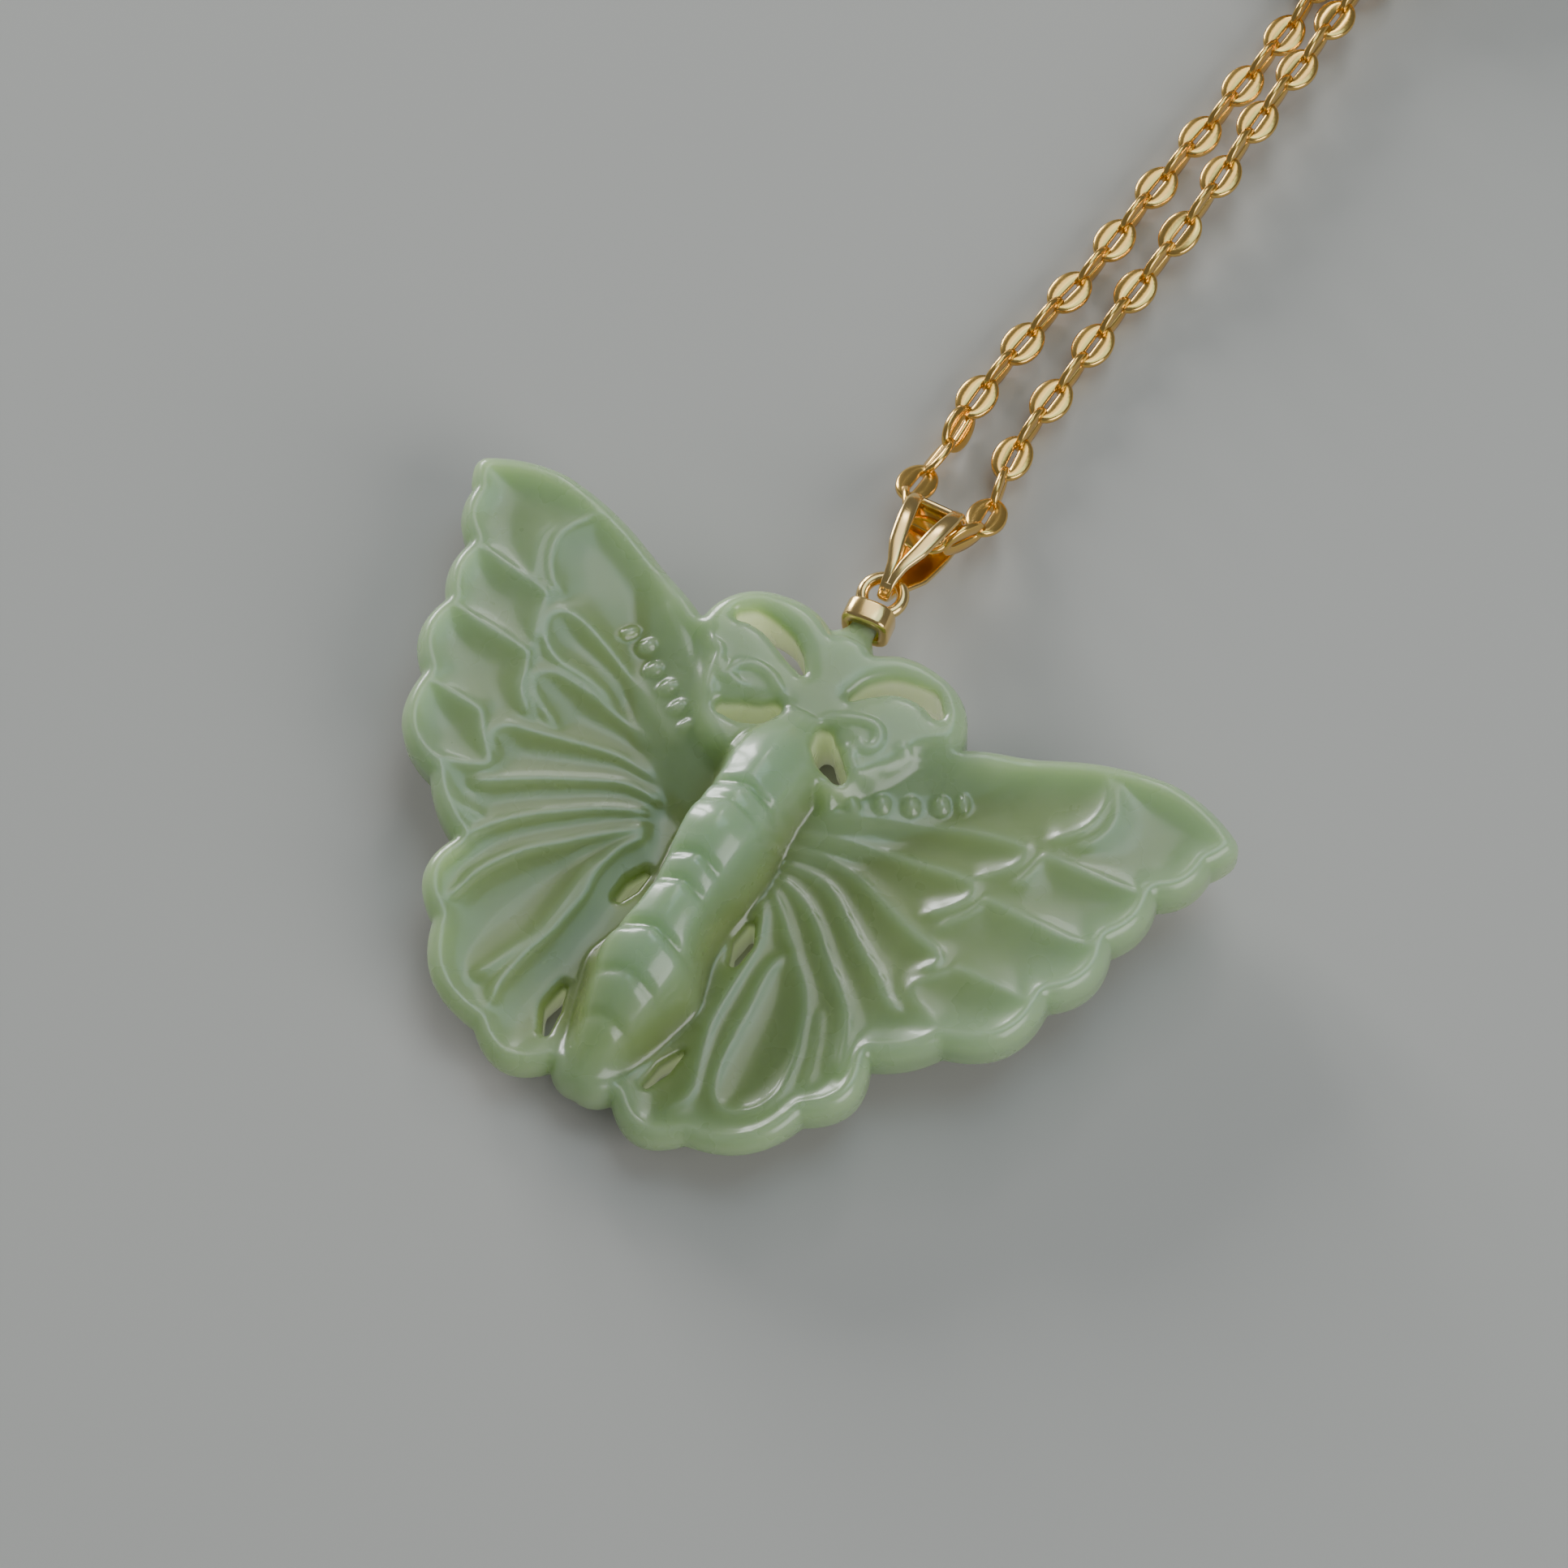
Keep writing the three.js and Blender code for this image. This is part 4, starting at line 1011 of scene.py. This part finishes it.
chain_gold = gold_finish("gold_chain", (1.0, 0.63, 0.18), 0.15)
way = even_line(LEFT_RUN + BAIL_CROSSING + RIGHT_RUN, 40)
numbers = np.arange(int(lengths_along(way)[-1] / LINK_PITCH) + 1)
taut = np.clip(numbers - TWIST_LINK, 0, TAUT_LINK - TWIST_LINK)
places = FIRST_LINK + numbers * LINK_PITCH + taut * TAUT_GAIN
numbers = numbers[places <= lengths_along(way)[-1]]
places = places[numbers]
rolls = numbers * np.pi / 2 + np.clip(numbers - TWIST_LINK, 0, TWIST_SHARE) * np.pi / (2 * TWIST_SHARE)
ends = np.stack([np.interp(places[[0, -1]], lengths_along(way), way[:, axis]) for axis in range(3)], 1)
chain = new_mesh("chain_runs", *links_along(way, places, rolls, one_link(28, 10)))
chain.data.materials.append(chain_gold)
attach(chain, "root")
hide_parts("chain")

# The rest of the chain
# The same chain goes on past the runs and is wound up as a doubled strand in three layers, in, out and in
# again, to a turn-back at the inner end. It has no clasp.
COIL_CENTRE = (-4.6, 53.6)
COIL_RADII = (3.45, 8.2)
COIL_TURNS = 1.5
COIL_START = math.radians(-28)
LAYER_HEIGHTS = (0.75, 1.3)
STRAND_HALF_GAP = 0.78
# Directions in which the strand leaves the runs and comes to the coil, and how hard each pulls its curve
STRAND_LEAVES = (0.2, 1.0, 0)
STRAND_ARRIVES = (0.47, 0.88, 0)
STRAND_PULL = 5.5
STRAND_START = 0.6
LINK_LEAN = np.pi / 4
LEAN_RUN = 6
LEAN_SPREAD = 0.09


def coil_way(start, end):
    """The doubled strand as one line: out along its left side, round the turn-back, home along its right."""
    t = np.linspace(0, 3, 1800)
    inner, outer = COIL_RADII
    radius = inner + (outer - inner) * np.abs(1 - t % 2)
    window = np.ones(61) / 61
    radius = np.convolve(np.pad(radius, 30, mode="edge"), window, mode="valid")
    angle = COIL_START + 2 * np.pi * COIL_TURNS * t
    z = LAYER_HEIGHTS[0] + LAYER_HEIGHTS[1] * (smooth(0.9, 1.1, t) + smooth(1.9, 2.1, t))
    x = COIL_CENTRE[0] + radius * np.cos(angle)
    y = COIL_CENTRE[1] + radius * np.sin(angle)
    lead = np.linspace(0, 1, 60, endpoint=False)[:, None]
    first = (start + end) / 2
    last = np.array((x[0], y[0], z[0]))
    leave, arrive = np.array(STRAND_LEAVES) * STRAND_PULL, np.array(STRAND_ARRIVES) * STRAND_PULL
    approach = (first * (1 + 2 * lead) * (1 - lead) ** 2 + leave * lead * (1 - lead) ** 2
                + last * lead ** 2 * (3 - 2 * lead) - arrive * lead ** 2 * (1 - lead))
    middle = np.vstack((approach, np.stack((x, y, z), 1)))
    along = np.gradient(middle, axis=0)
    along[:, 2] = 0
    along /= np.linalg.norm(along, axis=1)[:, None]
    left = np.cross((0, 0, 1), along)
    turn = np.linspace(0, np.pi, 13)[1:-1, None]
    back = middle[-1] + STRAND_HALF_GAP * (np.cos(turn) * left[-1] + np.sin(turn) * along[-1])
    out, home = middle + STRAND_HALF_GAP * left, middle - STRAND_HALF_GAP * left
    out, home = out[out[:, 1] > start[1] + STRAND_START], home[home[:, 1] > end[1] + STRAND_START]
    return np.vstack((start, out, back, home[::-1], end))


coil_line = coil_way(ends[0], ends[1])
pitches = round(lengths_along(coil_line)[-1] / LINK_PITCH / 2 - 0.5) * 2 + 1
numbers = np.arange(1, pitches)
places = lengths_along(coil_line)[-1] * numbers / pitches
lean = smooth(0, LEAN_RUN, numbers) * smooth(0, LEAN_RUN, pitches - numbers)
random = np.random.default_rng(7)
rolls = numbers * np.pi / 2 + lean * (LINK_LEAN + random.normal(0, LEAN_SPREAD, len(numbers)))
coil = new_mesh("chain_spare", *links_along(coil_line, places, rolls, one_link(16, 6)))
coil.data.materials.append(chain_gold)
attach(coil, "root")
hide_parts("chain_coil")

# The floor and the lights
# A plain pale surface, a tall window of two panes low down behind and to the left, soft daylight overhead,
# a smaller bright light behind that the metal mirrors, and a weak fill from the right.
FLOOR_SIZE = 2000
FLOOR_COLOUR = (0.5, 0.49, 0.46, 1)
SKY_COLOUR = (0.8, 0.85, 0.9, 1)
SKY_STRENGTH = 0.18


def pane(name, width, height, power, place, colour=(1, 1, 1)):
    """An oblong area light at a place in millimetres, facing the pendant with its long side upright."""
    lamp = bpy.data.objects.new(name, bpy.data.lights.new(name, "AREA"))
    lamp.data.shape = "RECTANGLE"
    lamp.data.size = width * MM
    lamp.data.size_y = height * MM
    lamp.data.energy = power
    lamp.data.color = colour
    lamp.location = Vector(place) * MM
    lamp.rotation_euler = (Vector((0, 3, 0)) - Vector(place)).to_track_quat("-Z", "Y").to_euler()
    bpy.context.scene.collection.objects.link(lamp)


half = FLOOR_SIZE / 2
corners = [(-half, -half, 0), (half, -half, 0), (half, half, 0), (-half, half, 0)]
floor = new_mesh("floor", corners, [(0, 1, 2, 3)])
paper = Finish("pale_floor")
paper.set(Base_Color=FLOOR_COLOUR, Roughness=0.8)
floor.data.materials.append(paper.material)
pane("left_pane", 80, 200, 0.9, (-410, 165, 100))
pane("right_pane", 80, 200, 0.9, (-350, 255, 100))
pane("overhead", 150, 260, 0.2, (-65, 215, 365))
pane("top_pane", 190, 230, 0.25, (75, 155, 380), (0.62, 0.88, 1.0))
pane("spark", 60, 60, 0.08, (-100, 310, 258))
pane("fill", 260, 260, 0.8, (330, -60, 190))
world = bpy.data.worlds.new("studio")
world.use_nodes = True
sky = world.node_tree.nodes["Background"]
sky.inputs["Color"].default_value = SKY_COLOUR
sky.inputs["Strength"].default_value = SKY_STRENGTH
bpy.context.scene.world = world
